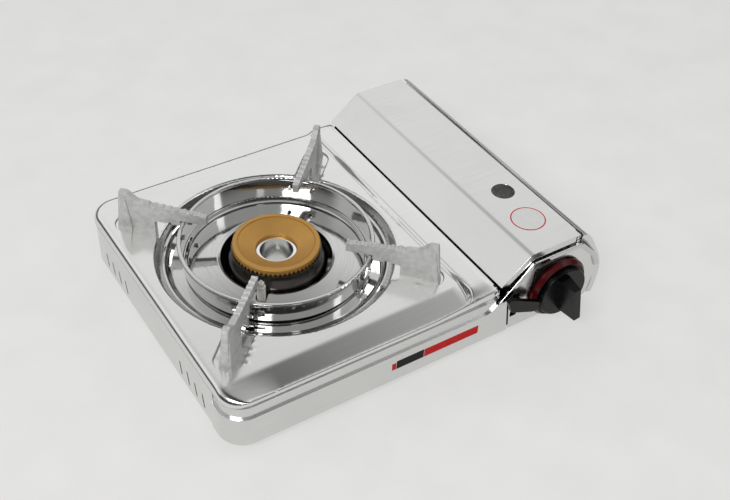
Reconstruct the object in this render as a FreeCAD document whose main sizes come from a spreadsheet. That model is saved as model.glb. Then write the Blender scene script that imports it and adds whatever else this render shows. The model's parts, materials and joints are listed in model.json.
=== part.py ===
import FreeCAD, Part

# Camping stove: a portable butane stove with a side bay for a gas cartridge.
#
# Frame: X to the right, Y to the back, Z up. The origin is under the middle of
# the stove, on the surface that its feet stand on.
# Casing parts are drawn from the casing's front left bottom corner.
# Burner and trivet parts are drawn from the burner's axis.

import math
import os

import Sketcher

SIZES = {
    # casing
    "casing_width": 343,
    "casing_depth": 257,
    "foot_height": 8,
    "sheet": 0.8,
    "seat_gap": 0.05,
    "run_gap": 0.4,
    "corner_radius": 20,
    # top plate
    "plate_height": 47,
    "strip_height": 50.2,
    "strip_width": 20.5,
    "strip_wall": 2.2,
    "strip_corner": 12.5,
    "plate_front": 0.8,
    "lip_drop": 2.6,
    "lip_width": 2.8,
    "gutter_depth": 5,
    "gutter_start": 8,
    "gutter_full": 45,
    "slope_back": 22,
    "platform_corner": 9.4,
    "front_slope": 13.5,
    "slope_run": 60.5,
    "slope_end": 1,
    "lip_end_drop": 0.4,
    "skirt_height": 38.5,
    "edge_roll": 6,
    "seam_notch": 11.5,
    "notch_drop": 2,
    "rear_notch": 33.3,
    # burner position from the casing corner
    "burner_x": 109.4,
    "burner_y": 130.1,
    # bowl
    "bowl_radius": 97,
    "bowl_wall": 6,
    "bead_height": 39,
    "shelf_width": 1.8,
    "trough_inset": 7,
    "trough_height": 36.2,
    "bowl_hole": 44.7,
    "bowl_hole_height": 41.8,
    "bowl_flange": 5,
    # pockets for the trivet's feet
    "pocket_width": 23,
    "pocket_gap": 3.2,
    "pocket_depth": 1.8,
    # trivet
    "ring_radius": 78.2,
    "ring_foot_radius": 74.5,
    "ring_top": 60.1,
    "ring_bottom": 39.6,
    "ring_lip": 3.5,
    "bead_size": 3.3,
    "arm_thickness": 5,
    "arm_tip": 57,
    "arm_tip_top": 68.7,
    "arm_tip_bottom": 60.4,
    "arm_foot_start": 101,
    "arm_foot_top": 54.8,
    "arm_end": 132.8,
    "arm_end_lean": 3.4,
    "arm_head_start": 123,
    "arm_head_height": 80,
    "arm_waist": 115,
    "arm_waist_height": 72.5,
    "lug_start": 79.2,
    "lug_end": 86,
    "lug_bottom": 44,
    "bracket_width": 26,
    "bracket_height": 12.5,
    "bracket_sheet": 1.2,
    "rivet_radius": 1.9,
    "rivet_offset": 9.5,
    "rivet_length": 5.6,
    "tooth_pitch": 6,
    "tooth_depth": 1,
    "tooth_radius": 2.6,
    "arm_teeth": 8,
    "head_width": 9.6,
    "head_ridge": 1.5,
    # burner
    "burner_rim": 36.1,
    "burner_top": 50,
    "burner_bottom": 14,
    "burner_bore": 13.5,
    "burner_wall": 2.5,
    "burner_flare": 42,
    "flare_height": 36,
    "burner_floor": 32,
    "centre_tube_top": 46,
    "stand_width": 24,
    "stand_bore": 9.5,
    "cap_radius": 35.1,
    "cap_top": 55.1,
    "cap_hole": 16.5,
    "cap_hole_height": 48.6,
    "cap_rim": 4,
    "cap_tooth": 2.4,
    "cap_collar": 1.6,
    "cap_collar_foot": 44.5,
    "tooth_count": 60,
    "air_hole": 21,
    # mixing tube and gas line
    "tube_radius": 9,
    "tube_wall": 1,
    "tube_height": 24,
    "nozzle_inset": 5,
    "nozzle_y": 62,
    # bay and lid
    "lid_height": 72.8,
    "bay_width": 107.3,
    "crease_inset": 26.8,
    "crease_radius": 7,
    "hinge_inset": 32,
    "hinge_radius": 2.8,
    "hinge_pin": 0.9,
    "pin_length": 7,
    "lid_front": 0.4,
    "lid_length": 255,
    "lid_flange": 6,
    "lid_gap": 1.4,
    "sight_inset": 52,
    "sight_y": 74.8,
    "sight_radius": 9.65,
    "bay_bulge": 27,
    "wall_lean": 5.5,
    "shell_flange": 7,
    "shield_inset": 3.3,
    # front
    "ledge_height": 26.8,
    "ledge_step": 1.6,
    "side_seam": 29,
    "swoop_inset": 13.7,
    "swoop_height": 34.5,
    "panel_seam_inset": 8.7,
    "panel_seam_lean": 3.7,
    "panel_seam_gap": 1.6,
    "panel_sheet": 1.2,
    "trim_inset": 9.5,
    "trim_width": 4.6,
    "trim_reach": 2,
    # louvres
    "louvre_length": 12,
    "louvre_width": 2.2,
    "louvre_height": 11.5,
    "louvre_pitch": 12.7,
    "louvre_lean": 3,
    "rear_louvres": 183.5,
    "front_louvres": 44,
    "louvre_count": 4,
    # controls
    "dial_inset": 49.6,
    "dial_height": 27.4,
    "dial_radius": 27.2,
    "dial_face": 24.4,
    "dial_edge": 1.8,
    "dial_thick": 4.8,
    "dial_back": 1.2,
    "knob_radius": 22.3,
    "knob_base": 4,
    "knob_reach": 27.5,
    "knob_grip": 6,
    "grip_length": 34,
    "knob_lean": 10,
    "stem_radius": 4,
    "lever_pivot_y": 30,
    "lever_pivot_height": 31,
    "lever_inset": 16.3,
    "lever_neck_width": 5,
    "lever_front": 10.5,
    "lever_thick": 4,
    "lever_slot_top": 37,
    "lever_slot_foot": 13,
    "lever_pin": 2,
    "lever_boss": 4,
    "lever_arm": 15,
    "lever_width": 34.2,
    "lever_top": 44,
    # cartridge bay
    "cartridge_radius": 33.5,
    "cartridge_length": 184,
    "cartridge_inset": 59,
    "cartridge_y": 46,
    "regulator_radius": 21,
    "regulator_front": 6,
    "regulator_length": 28,
    "socket_radius": 9,
    "socket_depth": 8,
    "carriage_inset": 4.3,
    "carriage_width": 9,
    "bracket_wide": 18,
    "piezo_inset": 28.3,
    "piezo_height": 10.5,
    "piezo_radius": 5.5,
    "piezo_length": 38,
    "wire_radius": 1.2,
    "wire_height": 7,
    "wire_offset": 22,
    "gas_tube_radius": 2.2,
    # feet and screws
    "foot_radius": 9,
    "foot_inset": 30,
    "screw_head": 3.4,
    "screw_shank": 1.6,
    # ignition
    "electrode_turn": -132,
    "electrode_reach": 51,
    "ceramic_radius": 3.5,
    "electrode_top": 57.6,
    "electrode_foot": 28,
}

doc = FreeCAD.newDocument("camping_stove")
sheet = doc.addObject("Spreadsheet::Sheet", "sizes")
for row, (alias, number) in enumerate(SIZES.items(), start=1):
    sheet.set("A%d" % row, alias)
    sheet.set("B%d" % row, str(number))
    sheet.setAlias("B%d" % row, alias)
doc.recompute()


# ---------------------------------------------------------------- sizes

class Size:
    """A length or angle: its number now, and the sheet expression that gives it."""

    def __init__(self, value, text):
        self.value = float(value)
        self.text = text

    def joined(self, other, sign, value):
        return Size(value, "(%s %s %s)" % (self.text, sign, size(other).text))

    def __add__(self, other):
        return self.joined(other, "+", self.value + size(other).value)

    def __sub__(self, other):
        return self.joined(other, "-", self.value - size(other).value)

    def __mul__(self, other):
        return self.joined(other, "*", self.value * size(other).value)

    def __truediv__(self, other):
        return self.joined(other, "/", self.value / size(other).value)

    def __radd__(self, other):
        return size(other) + self

    def __rsub__(self, other):
        return size(other) - self

    def __rmul__(self, other):
        return size(other) * self

    def __neg__(self):
        return size(0) - self


def size(thing):
    """A plain number as a Size, and a Size as it is."""
    if isinstance(thing, Size):
        return thing
    return Size(thing, repr(float(thing)))


def sine(angle):
    return Size(math.sin(math.radians(angle.value)), "sin(%s)" % angle.text)


def cosine(angle):
    return Size(math.cos(math.radians(angle.value)), "cos(%s)" % angle.text)


class Named:
    """The sheet's cells by name, each as a Size."""

    def __getattr__(self, alias):
        return Size(SIZES[alias], "sizes." + alias)


s = Named()

# places that follow from the sizes in the sheet
s.lip_height = s.plate_height - s.lip_drop
s.gutter_floor = s.plate_height - s.gutter_depth
s.bead_radius = s.bowl_radius - s.bowl_wall
s.trough_radius = s.bead_radius - s.trough_inset
s.pocket_reach = s.arm_end + s.pocket_gap
s.bay_seam = s.casing_width - s.bay_width
s.strip_left = s.bay_seam - s.strip_width
s.lid_crease = s.bay_seam + s.crease_inset
s.hinge_x = s.casing_width - s.hinge_inset
s.bay_wall_foot = s.casing_width - s.wall_lean
s.sight_x = s.casing_width - s.sight_inset
s.shield_x = s.bay_seam - s.shield_inset
s.nozzle_x = s.shield_x + s.nozzle_inset
s.swoop_start = s.bay_seam - s.swoop_inset
s.panel_seam_top = s.bay_seam + s.panel_seam_inset
s.panel_seam_foot = s.panel_seam_top + s.panel_seam_lean
s.dial_x = s.casing_width - s.dial_inset
s.lever_neck_x = s.bay_seam + s.lever_inset
s.lever_left = s.bay_seam - s.run_gap
s.lever_right = s.lever_left + s.lever_width
s.cartridge_x = s.casing_width - s.cartridge_inset
s.carriage_x = s.bay_seam + s.carriage_inset
s.piezo_x = s.bay_seam + s.piezo_inset

# the casing corner and the burner's axis in the stove's frame
CORNER = (-s.casing_width / 2, (s.knob_reach - s.casing_depth) / 2, s.foot_height)
BURNER = (CORNER[0] + s.burner_x, CORNER[1] + s.burner_y, s.foot_height)


# ---------------------------------------------------------------- helpers

XY, XZ, YZ = "XY_Plane", "XZ_Plane", "YZ_Plane"


def bind(thing, prop, amount):
    """Tie one property of a document object to the sheet."""
    thing.setExpression(prop, size(amount).text)


def place(thing, where=CORNER, turn=0, axis=(0, 0, 1)):
    """Put an object at a corner given by three sizes, turned about one axis."""
    thing.Placement.Rotation = FreeCAD.Rotation(FreeCAD.Vector(*axis), turn)
    for letter, amount in zip("xyz", where):
        bind(thing, "Placement.Base." + letter, amount)


def new_body(label, where=CORNER, turn=0):
    body = doc.addObject("PartDesign::Body", label)
    body.Label = label
    place(body, where, turn)
    return body


def new_sketch(body, plane, offset=0):
    """An empty sketch on one of the body's own planes, moved along its normal."""
    sketch = body.newObject("Sketcher::SketchObject", body.Name + "_sketch")
    support = [item for item in body.Origin.OriginFeatures if item.Role == plane][0]
    sketch.AttachmentSupport = [(support, "")]
    sketch.MapMode = "FlatFace"
    shift = -size(offset) if plane == XZ else size(offset)
    bind(sketch, "AttachmentOffset.Base.z", shift)
    return sketch


def hold_point(sketch, geometry, end, u, v):
    """Dimension one point of a sketch from its origin."""
    for kind, amount in (("DistanceX", u), ("DistanceY", v)):
        rule = Sketcher.Constraint(kind, -1, 1, geometry, end, size(amount).value)
        bind(sketch, "Constraints[%d]" % sketch.addConstraint(rule), amount)


def outline(body, plane, points, offset=0):
    """A closed sketch through points (u, v) or (u, v, corner radius)."""
    sketch = new_sketch(body, plane, offset)
    spots = [FreeCAD.Vector(size(p[0]).value, size(p[1]).value, 0) for p in points]
    count = len(spots)
    for index in range(count):
        sketch.addGeometry(Part.LineSegment(spots[index], spots[(index + 1) % count]))
    for index in range(count):
        after = (index + 1) % count
        sketch.addConstraint(Sketcher.Constraint("Coincident", index, 2, after, 1))
        hold_point(sketch, index, 1, points[index][0], points[index][1])
    doc.recompute()
    for index, point in enumerate(points):
        if len(point) > 2:
            sketch.fillet(index, 1, size(point[2]).value, True, True)
            arc = sketch.GeometryCount - 1
            while not isinstance(sketch.Geometry[arc], Part.ArcOfCircle):
                arc -= 1
            rule = Sketcher.Constraint("Radius", arc, size(point[2]).value)
            bind(sketch, "Constraints[%d]" % sketch.addConstraint(rule), point[2])
    return sketch


def circles(body, plane, rounds, offset=0):
    """A sketch of circles (u, v, radius)."""
    sketch = new_sketch(body, plane, offset)
    for u, v, radius in rounds:
        centre = FreeCAD.Vector(size(u).value, size(v).value, 0)
        up = FreeCAD.Vector(0, 0, 1)
        item = sketch.addGeometry(Part.Circle(centre, up, size(radius).value))
        hold_point(sketch, item, 3, u, v)
        rule = Sketcher.Constraint("Radius", item, size(radius).value)
        bind(sketch, "Constraints[%d]" % sketch.addConstraint(rule), radius)
    return sketch


def pad(body, sketch, length, back=False, both=False):
    """Add a prism. On XZ it grows towards the back of the stove unless back is set."""
    feature = body.newObject("PartDesign::Pad", body.Name + "_pad")
    feature.Profile = sketch
    feature.Midplane = both
    feature.Reversed = back != (sketch.AttachmentSupport[0][0].Role == XZ)
    bind(feature, "Length", length)
    sketch.Visibility = False
    doc.recompute()
    return feature


def pocket(body, sketch, length, back=False, both=False):
    """Cut a prism, growing the same way as pad does, and check that it cuts."""
    before = body.Tip.Shape.Volume
    feature = body.newObject("PartDesign::Pocket", body.Name + "_pocket")
    feature.Profile = sketch
    feature.Midplane = both
    feature.Reversed = back == (sketch.AttachmentSupport[0][0].Role == XZ)
    bind(feature, "Length", length)
    doc.recompute()
    if not feature.Shape.Volume < before - 0.01:
        raise RuntimeError(feature.Name + " cuts nothing")
    return feature


def revolve(body, sketch):
    """Turn a profile on XZ round the body's own vertical axis."""
    feature = body.newObject("PartDesign::Revolution", body.Name + "_turn")
    feature.Profile = sketch
    feature.ReferenceAxis = (sketch, ["V_Axis"])
    doc.recompute()
    return feature


def round_edges(body, radius, chosen, kind="PartDesign::Fillet"):
    """Fillet or chamfer the edges that the function chosen picks by their middle."""
    base = body.Tip
    names = []
    for number, edge in enumerate(base.Shape.Edges, start=1):
        middle = edge.valueAt((edge.FirstParameter + edge.LastParameter) / 2)
        if chosen(middle, edge):
            names.append("Edge%d" % number)
    if not names:
        raise RuntimeError(body.Name + " has no edge to round")
    feature = body.newObject(kind, body.Name + "_edges")
    feature.Base = (base, names)
    bind(feature, "Radius" if kind.endswith("Fillet") else "Size", radius)
    doc.recompute()
    if feature.Shape.isNull():
        raise RuntimeError("%s fails on %d edges" % (feature.Name, len(names)))
    return feature


def turn_pattern(body, features, count):
    """Repeat features round the body's own vertical axis."""
    pattern = body.newObject("PartDesign::PolarPattern", body.Name + "_round")
    pattern.Originals = features
    pattern.Axis = ([item for item in body.Origin.OriginFeatures if item.Role == "Z_Axis"][0], [""])
    pattern.Angle = 360
    bind(pattern, "Occurrences", count)
    body.Tip = pattern
    doc.recompute()
    return pattern


def row_pattern(body, features, role, length, count):
    """Repeat features along one of the body's own axes."""
    pattern = body.newObject("PartDesign::LinearPattern", body.Name + "_row")
    pattern.Originals = features
    pattern.Direction = ([item for item in body.Origin.OriginFeatures if item.Role == role][0], [""])
    bind(pattern, "Length", length)
    bind(pattern, "Occurrences", count)
    body.Tip = pattern
    doc.recompute()
    return pattern


def cylinder(name, where, radius, height, axis="Z"):
    """A round bar that grows from where along one axis of the stove."""
    item = doc.addObject("Part::Cylinder", name)
    tilt = {"Z": ((0, 0, 1), 0), "X": ((0, 1, 0), 90), "Y": ((1, 0, 0), -90)}[axis]
    place(item, where, tilt[1], tilt[0])
    bind(item, "Radius", radius)
    bind(item, "Height", height)
    return item


def box(name, where, across, deep, tall):
    item = doc.addObject("Part::Box", name)
    place(item, where)
    bind(item, "Length", across)
    bind(item, "Width", deep)
    bind(item, "Height", tall)
    return item


def cut(label, base, tool):
    item = doc.addObject("Part::Cut", label)
    item.Base = base
    item.Tool = tool
    item.Label = label
    doc.recompute()
    return item


def fuse(label, items):
    item = doc.addObject("Part::MultiFuse", label)
    item.Shapes = items
    item.Label = label
    doc.recompute()
    return item


def common(label, items):
    item = doc.addObject("Part::MultiCommon", label)
    item.Shapes = items
    item.Label = label
    doc.recompute()
    return item


def group(label, items):
    """Separate equal solids that share one node."""
    item = doc.addObject("Part::Compound", label)
    item.Links = items
    item.Label = label
    doc.recompute()
    return item


NODES = []


def keep(thing):
    """List a finished sub-part, which is written to its own file."""
    NODES.append(thing)
    return thing


def at(x, y, z):
    """A point given from the casing corner."""
    return (CORNER[0] + x, CORNER[1] + y, CORNER[2] + z)


# ---------------------------------------------------------------- casing

def base_tray():
    """Floor with the left and rear walls, louvres on the left, and an air hole."""
    body = new_body("base_tray")
    inset = s.sheet + s.seat_gap
    front = s.ledge_step + s.sheet * 2
    right = s.bay_wall_foot - s.sheet - s.run_gap
    back = s.casing_depth - inset
    floor_plan = [
        (front, front, s.corner_radius - front),
        (right, front),
        (right, back),
        (inset, back, s.corner_radius - inset),
        (inset, s.side_seam),
        (front, s.side_seam),
    ]
    wall_top = s.plate_height - s.edge_roll - s.seat_gap
    pad(body, outline(body, XY, floor_plan), wall_top)
    hollow = [
        (inset - 5, front - 5),
        (right + 5, front - 5),
        (right + 5, back - s.sheet),
        (inset + s.sheet, back - s.sheet, s.corner_radius - inset - s.sheet),
        (inset + s.sheet, s.side_seam),
        (inset - 5, s.side_seam),
    ]
    pocket(body, outline(body, XY, hollow, s.sheet), wall_top)
    beyond_lid = [
        (s.shield_x, s.sheet * 2),
        (right + 5, s.sheet * 2),
        (right + 5, wall_top + 5),
        (s.shield_x, wall_top + 5),
    ]
    pocket(body, outline(body, XZ, beyond_lid, back - 5), s.sheet + 10)
    rounds = [(s.burner_x, s.burner_y, s.air_hole)]
    rounds += [(x, y, s.screw_shank + 0.1) for x, y in screw_spots()]
    pocket(body, circles(body, XY, rounds, -1), s.sheet + 2)
    low = s.louvre_height - s.louvre_length / 2
    high = s.louvre_height + s.louvre_length / 2
    for first in (s.front_louvres, s.rear_louvres):
        slot = [
            (first - s.louvre_lean / 2, low),
            (first - s.louvre_lean / 2 + s.louvre_width, low),
            (first + s.louvre_lean / 2 + s.louvre_width, high),
            (first + s.louvre_lean / 2, high),
        ]
        first_slot = pocket(body, outline(body, YZ, slot, inset - 1), s.sheet + 2)
        row_pattern(body, [first_slot], "Y_Axis", s.louvre_pitch * (s.louvre_count - 1), s.louvre_count)
    seam_notch(body, s.casing_depth - s.rear_notch, wall_top)
    seam_notch(body, front_notch(), wall_top)
    return keep(body)


def front_notch():
    """Where the front slot under the plate's left edge starts, astride the side seam."""
    return s.side_seam - s.seam_notch * 0.22


def seam_notch(body, start, wall_top):
    """A dark slot in the left wall, just under the plate's edge."""
    low = s.skirt_height - s.notch_drop
    end = start + s.seam_notch
    high = wall_top + 1
    shape = [(start, low), (end, low), (end, high), (start, high)]
    pocket(body, outline(body, YZ, shape, -1), s.sheet * 3 + 2)


def corner_band(body, outset, bottom, top, right_end):
    """A strip of sheet round the front left corner, outset from the upper front face."""
    face = s.ledge_step - outset
    inner = face + s.sheet
    plan = [
        (face, s.side_seam),
        (face, face, s.corner_radius - face),
        (right_end, face),
        (right_end, inner),
        (inner, inner, s.corner_radius - inner),
        (inner, s.side_seam),
    ]
    pad(body, outline(body, XY, plan, bottom), top - bottom)


def front_panel():
    """The pressed front: a proud apron below a ledge that sweeps up to the trim."""
    body = new_body("front_panel")
    end = s.swoop_start + 2
    corner_band(body, s.ledge_step, 0, s.ledge_height, end)
    plate_side = s.bay_seam - s.lid_gap - s.sheet - s.seat_gap
    panel_top = s.plate_height - s.edge_roll - s.seat_gap
    corner_band(body, -s.seat_gap, s.ledge_height - s.sheet, panel_top, plate_side)
    ledge = [
        (0, s.side_seam),
        (0, 0, s.corner_radius),
        (end, 0),
        (end, s.ledge_step + s.sheet),
        (s.ledge_step + s.sheet, s.ledge_step + s.sheet, s.corner_radius - s.ledge_step - s.sheet),
        (s.ledge_step + s.sheet, s.side_seam),
    ]
    pad(body, outline(body, XY, ledge, s.ledge_height - s.sheet), s.sheet)
    left_of_seam = s.panel_seam_gap / 2
    apron_end = [
        (s.swoop_start, 0),
        (s.panel_seam_foot - left_of_seam, 0),
        (s.panel_seam_top - left_of_seam, s.swoop_height - 3),
        (s.panel_seam_top - left_of_seam - 2, s.swoop_height),
        (s.swoop_start + 12.5, s.swoop_height - 1.5),
        (s.swoop_start + 5, s.ledge_height, 12),
        (s.swoop_start, s.ledge_height),
    ]
    pad(body, outline(body, XZ, apron_end), s.ledge_step + s.sheet)
    seam_notch(body, front_notch(), panel_top)
    return keep(body)


def plate_form(name, inset):
    """The top plate's solid form, with every face moved in by inset."""
    body = new_body(name)
    right = s.bay_seam - s.lid_gap - inset
    back = s.casing_depth - inset
    front = s.plate_front + inset
    radius = s.corner_radius - inset
    below = s.skirt_height - inset
    top = s.plate_height - inset
    high = s.strip_height - inset
    blank = [(inset, front, radius), (right, front), (right, back), (inset, back, radius)]
    pad(body, outline(body, XY, blank, below), top - below)

    def rolled(middle, edge):
        height = abs(middle.z - top.value) < 0.01
        return height and (middle.x < inset.value + 1 or middle.y > back.value - 1)

    round_edges(body, s.edge_roll - inset, rolled)

    # the lip's bar and the raised strip stand square to the front
    lip_back = s.plate_front + s.lip_width - inset
    start = s.corner_radius + inset
    bar = [(start, front), (right, front), (right, lip_back), (start, lip_back)]
    pad(body, outline(body, XY, bar, below), high - below)
    strip_edge = s.strip_left + inset
    strip_back = s.casing_depth - s.edge_roll - 1 - inset
    bend = strip_edge - s.strip_corner * 2
    strip = [
        (bend, front),
        (right, front),
        (right, strip_back),
        (strip_edge, strip_back),
        (strip_edge, lip_back, s.strip_corner + inset),
        (bend, lip_back),
    ]
    pad(body, outline(body, XY, strip, below), high - below)
    ramp_front = s.slope_back + s.platform_corner
    ramp = [
        (s.strip_left - s.strip_wall + inset / 2, top),
        (s.strip_left + inset / 2, high),
        (strip_edge + 1, high),
        (strip_edge + 1, top),
    ]
    pad(body, outline(body, XZ, ramp, ramp_front), strip_back - ramp_front)

    # the lip is level, then climbs to the strip at the bay
    lip = s.lip_height - inset
    climb = s.bay_seam - s.slope_run
    level = [(front - 5, lip), (lip_back, lip), (lip_back, high + 5), (front - 5, high + 5)]
    pocket(body, outline(body, YZ, level, s.corner_radius / 2), climb - s.corner_radius / 2)
    low_end = [(front - 5, lip), (lip_back, lip), (front + s.front_slope, high)]
    low_end += [(front + s.front_slope, high + 5), (front - 5, high + 5)]
    lip_end = high - s.lip_end_drop
    high_end = [(front - 5, lip_end), (front, lip_end), (front + s.slope_end, high)]
    high_end += [(front + s.slope_end, high + 5), (front - 5, high + 5)]
    loft = body.newObject("PartDesign::SubtractiveLoft", name + "_climb")
    loft.Profile = outline(body, YZ, low_end, climb)
    loft.Sections = [outline(body, YZ, high_end, right + 1)]
    loft.Ruled = True
    doc.recompute()
    return body


def plate_gutter(name, inset):
    """The trough in front of the platform: it fades out at the left and turns at the right."""
    low = s.gutter_floor - inset
    high = s.plate_height - inset
    front = s.plate_front + s.lip_width - inset
    edge = s.strip_left + inset
    turn_x = s.strip_left - s.strip_wall - s.platform_corner
    turn_y = s.slope_back + s.platform_corner
    plan = new_body(name + "_plan")
    shape = [
        (s.gutter_start, front),
        (edge, front, s.strip_corner + inset),
        (edge, turn_y),
        (s.gutter_start, turn_y),
    ]
    pad(plan, outline(plan, XY, shape, low - 2), 15)

    def section(body, floor, place_x):
        points = [(front - 3, floor), (front, floor), (s.slope_back, high), (s.slope_back, high + 5)]
        return outline(body, YZ, points + [(front - 3, high + 5)], place_x)

    wedge = new_body(name + "_wedge")
    pad(wedge, section(wedge, low, s.gutter_full), turn_x - s.gutter_full)
    fade = new_body(name + "_fade")
    loft = fade.newObject("PartDesign::AdditiveLoft", name + "_loft")
    loft.Profile = section(fade, high + 0.3, s.gutter_start)
    loft.Sections = [section(fade, low, s.gutter_full)]
    loft.Ruled = True
    doc.recompute()
    reach = s.strip_corner * 2.5
    fall = reach * (high - low) / (s.slope_back - front)
    corner = new_body(name + "_corner", at(turn_x, turn_y, 0))
    cone = [
        (s.platform_corner, high),
        (s.platform_corner + reach, high - fall),
        (s.platform_corner + reach, high + 5),
        (s.platform_corner, high + 5),
    ]
    revolve(corner, outline(corner, XZ, cone))
    quarter = box(name + "_quarter", at(turn_x, front - 3, low - 5), edge - turn_x, turn_y - front + 3, 20)
    turned = common(name + "_turn", [corner, quarter])
    return common(name, [plan, fuse(name + "_run", [wedge, fade, turned])])


def pocket_form(name, inset):
    """Four round-ended sinks in the platform, one under each foot of the trivet."""
    half = s.pocket_width / 2 + inset
    floor = s.plate_height - s.pocket_depth - inset
    inside = s.bead_radius - s.bowl_wall * 1.5
    end = s.pocket_reach + inset
    # almost a half circle, so that a short straight end is left
    bend = half * 0.99
    plan = [(inside, -half), (end, -half, bend), (end, half, bend), (inside, half)]
    items = []
    for turn in range(4):
        slot = new_body("%s_%d" % (name, turn), BURNER, 45 + 90 * turn)
        pad(slot, outline(slot, XY, plan, floor), s.pocket_depth + 3)
        items.append(slot)
    return items


def bowl_wall():
    """The plate's drawn wall from the platform down to the reflector's seat."""
    body = new_body("bowl_wall", BURNER)
    top = s.plate_height
    seat = s.bead_height
    outer = s.bowl_radius + s.sheet + 0.7
    profile = [
        (outer + 1, top),
        (s.bowl_radius, top, 1.2),
        (s.bead_radius + 1.5, seat + 3, 4),
        (s.bead_radius, seat),
        (s.bead_radius - s.shelf_width, seat),
        (s.bead_radius - s.shelf_width, seat - s.sheet),
        (s.bead_radius + 0.6, seat - s.sheet),
        (s.bead_radius + 2.4, seat + 2.4, 4.8),
        (s.bowl_radius + 0.7, top - s.sheet),
        (outer + 1, top - s.sheet),
    ]
    revolve(body, outline(body, XZ, profile))
    return body


def top_plate():
    """The pressed steel top: platform, gutter, raised strip, sinks and bowl wall."""
    forms = []
    for name, inset in (("outer", size(0)), ("inner", s.sheet)):
        sinks = [plate_gutter(name + "_gutter", inset)] + pocket_form(name + "_sink", inset)
        forms.append(cut(name + "_form", plate_form(name + "_blank", inset), fuse(name + "_sinks", sinks)))
    shell = cut("plate_shell", forms[0], forms[1])
    opening = cylinder("bowl_opening", BURNER, s.bowl_radius + s.sheet, s.strip_height)
    open_shell = cut("plate_open", shell, opening)
    wall = cut("bowl_wall_cut", bowl_wall(), fuse("wall_sinks", pocket_form("wall_sink", size(0))))
    return keep(fuse("top_plate", [open_shell, wall]))


# ---------------------------------------------------------------- burner and bowl

def reflector_bowl():
    """The polished dish round the burner, resting on the plate's drawn shelf."""
    body = new_body("dish_form", BURNER)
    rim = s.bead_radius - s.run_gap
    seat = s.bead_height + s.seat_gap
    hole = s.bowl_hole
    top = s.bowl_hole_height
    profile = [
        (rim, seat),
        (rim, seat + 1.6, 0.7),
        (rim - 2, seat + 1.6, 0.7),
        (rim - 3.4, s.trough_height + 1.4, 1.5),
        (s.trough_radius, s.trough_height, 5),
        (hole + 2.5, top, 1.5),
        (hole, top - 1.4, 1),
        (hole, top - s.bowl_flange),
        (hole + s.sheet, top - s.bowl_flange),
        (hole + s.sheet, top - s.sheet - 1.4),
        (hole + 2.5, top - s.sheet, 0.8),
        (s.trough_radius, s.trough_height - s.sheet, 5.8),
        (rim - 2.7, s.trough_height + 0.9, 2.2),
        (rim - 1.6, seat),
    ]
    revolve(body, outline(body, XZ, profile))
    half = s.ceramic_radius + 1
    end = s.electrode_reach + half
    bend = half * 0.98
    notch = [(hole - 5, -half), (end, -half, bend), (end, half, bend), (hole - 5, half)]
    slot = new_body("electrode_notch", BURNER, SIZES["electrode_turn"])
    pad(slot, outline(slot, XY, notch, top - s.bowl_flange - 1), s.bowl_flange + 3)
    return keep(cut("reflector_bowl", body, slot))


def burner_body():
    """Ring chamber with a centre air tube, flared below its rim."""
    body = new_body("chamber_form", BURNER)
    wall = s.burner_wall
    rim = s.burner_rim
    profile = [
        (s.burner_bore, s.burner_bottom),
        (s.burner_bore, s.centre_tube_top),
        (s.burner_bore + wall, s.centre_tube_top),
        (s.burner_bore + wall, s.burner_bottom + wall),
        (s.burner_floor - wall, s.burner_bottom + wall),
        (s.burner_flare - wall, s.flare_height, 6),
        (rim - wall, s.burner_top - 1.5),
        (rim - wall, s.burner_top),
        (rim, s.burner_top),
        (rim, s.burner_top - 1.5),
        (s.burner_flare, s.flare_height, 6),
        (s.burner_floor, s.burner_bottom, 2),
    ]
    revolve(body, outline(body, XZ, profile))
    port = new_body("tube_port", tube_start(), 0)
    aim(port)
    pad(port, circles(port, YZ, [(0, 0, s.tube_radius + s.seat_gap)], -12), 30)
    return keep(cut("burner_body", body, port))


def tube_turn():
    """The mixing tube's direction, in degrees from the X axis."""
    across = s.nozzle_x - s.burner_x
    back = s.nozzle_y - s.burner_y
    angle = math.degrees(math.atan2(back.value, across.value))
    return Size(angle, "atan2(%s; %s)" % (back.text, across.text))


def tube_reach():
    """Distance from the burner's axis to the jet, seen from above."""
    across = s.nozzle_x - s.burner_x
    back = s.nozzle_y - s.burner_y
    return Size(math.hypot(across.value, back.value), "sqrt(%s ^ 2 + %s ^ 2)" % (across.text, back.text))


def tube_start():
    reach = s.burner_floor
    turn = tube_turn()
    return at(s.burner_x + cosine(turn) * reach, s.burner_y + sine(turn) * reach, s.tube_height)


def aim(thing):
    """Turn an object so that its X axis runs along the mixing tube."""
    thing.Placement.Rotation = FreeCAD.Rotation(FreeCAD.Vector(0, 0, 1), 0)
    bind(thing, "Placement.Rotation.Angle", tube_turn())


def mixing_tube():
    """Straight tube from the nozzle to the burner, with a flared mouth."""
    body = new_body("mixing_tube", tube_start())
    aim(body)
    length = tube_reach() - s.burner_floor - 20
    flare = 3
    outer = s.tube_radius
    inner = s.tube_radius - s.tube_wall
    profile = [
        (-4, inner),
        (length, inner),
        (length + 8, inner + flare - 1),
        (length + 8, outer + flare - 1),
        (length, outer),
        (-4, outer),
    ]
    sketch = outline(body, XZ, [(p[0], p[1]) for p in profile])
    feature = body.newObject("PartDesign::Revolution", "mixing_tube_turn")
    feature.Profile = sketch
    feature.ReferenceAxis = (sketch, ["H_Axis"])
    doc.recompute()
    return keep(body)


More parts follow.
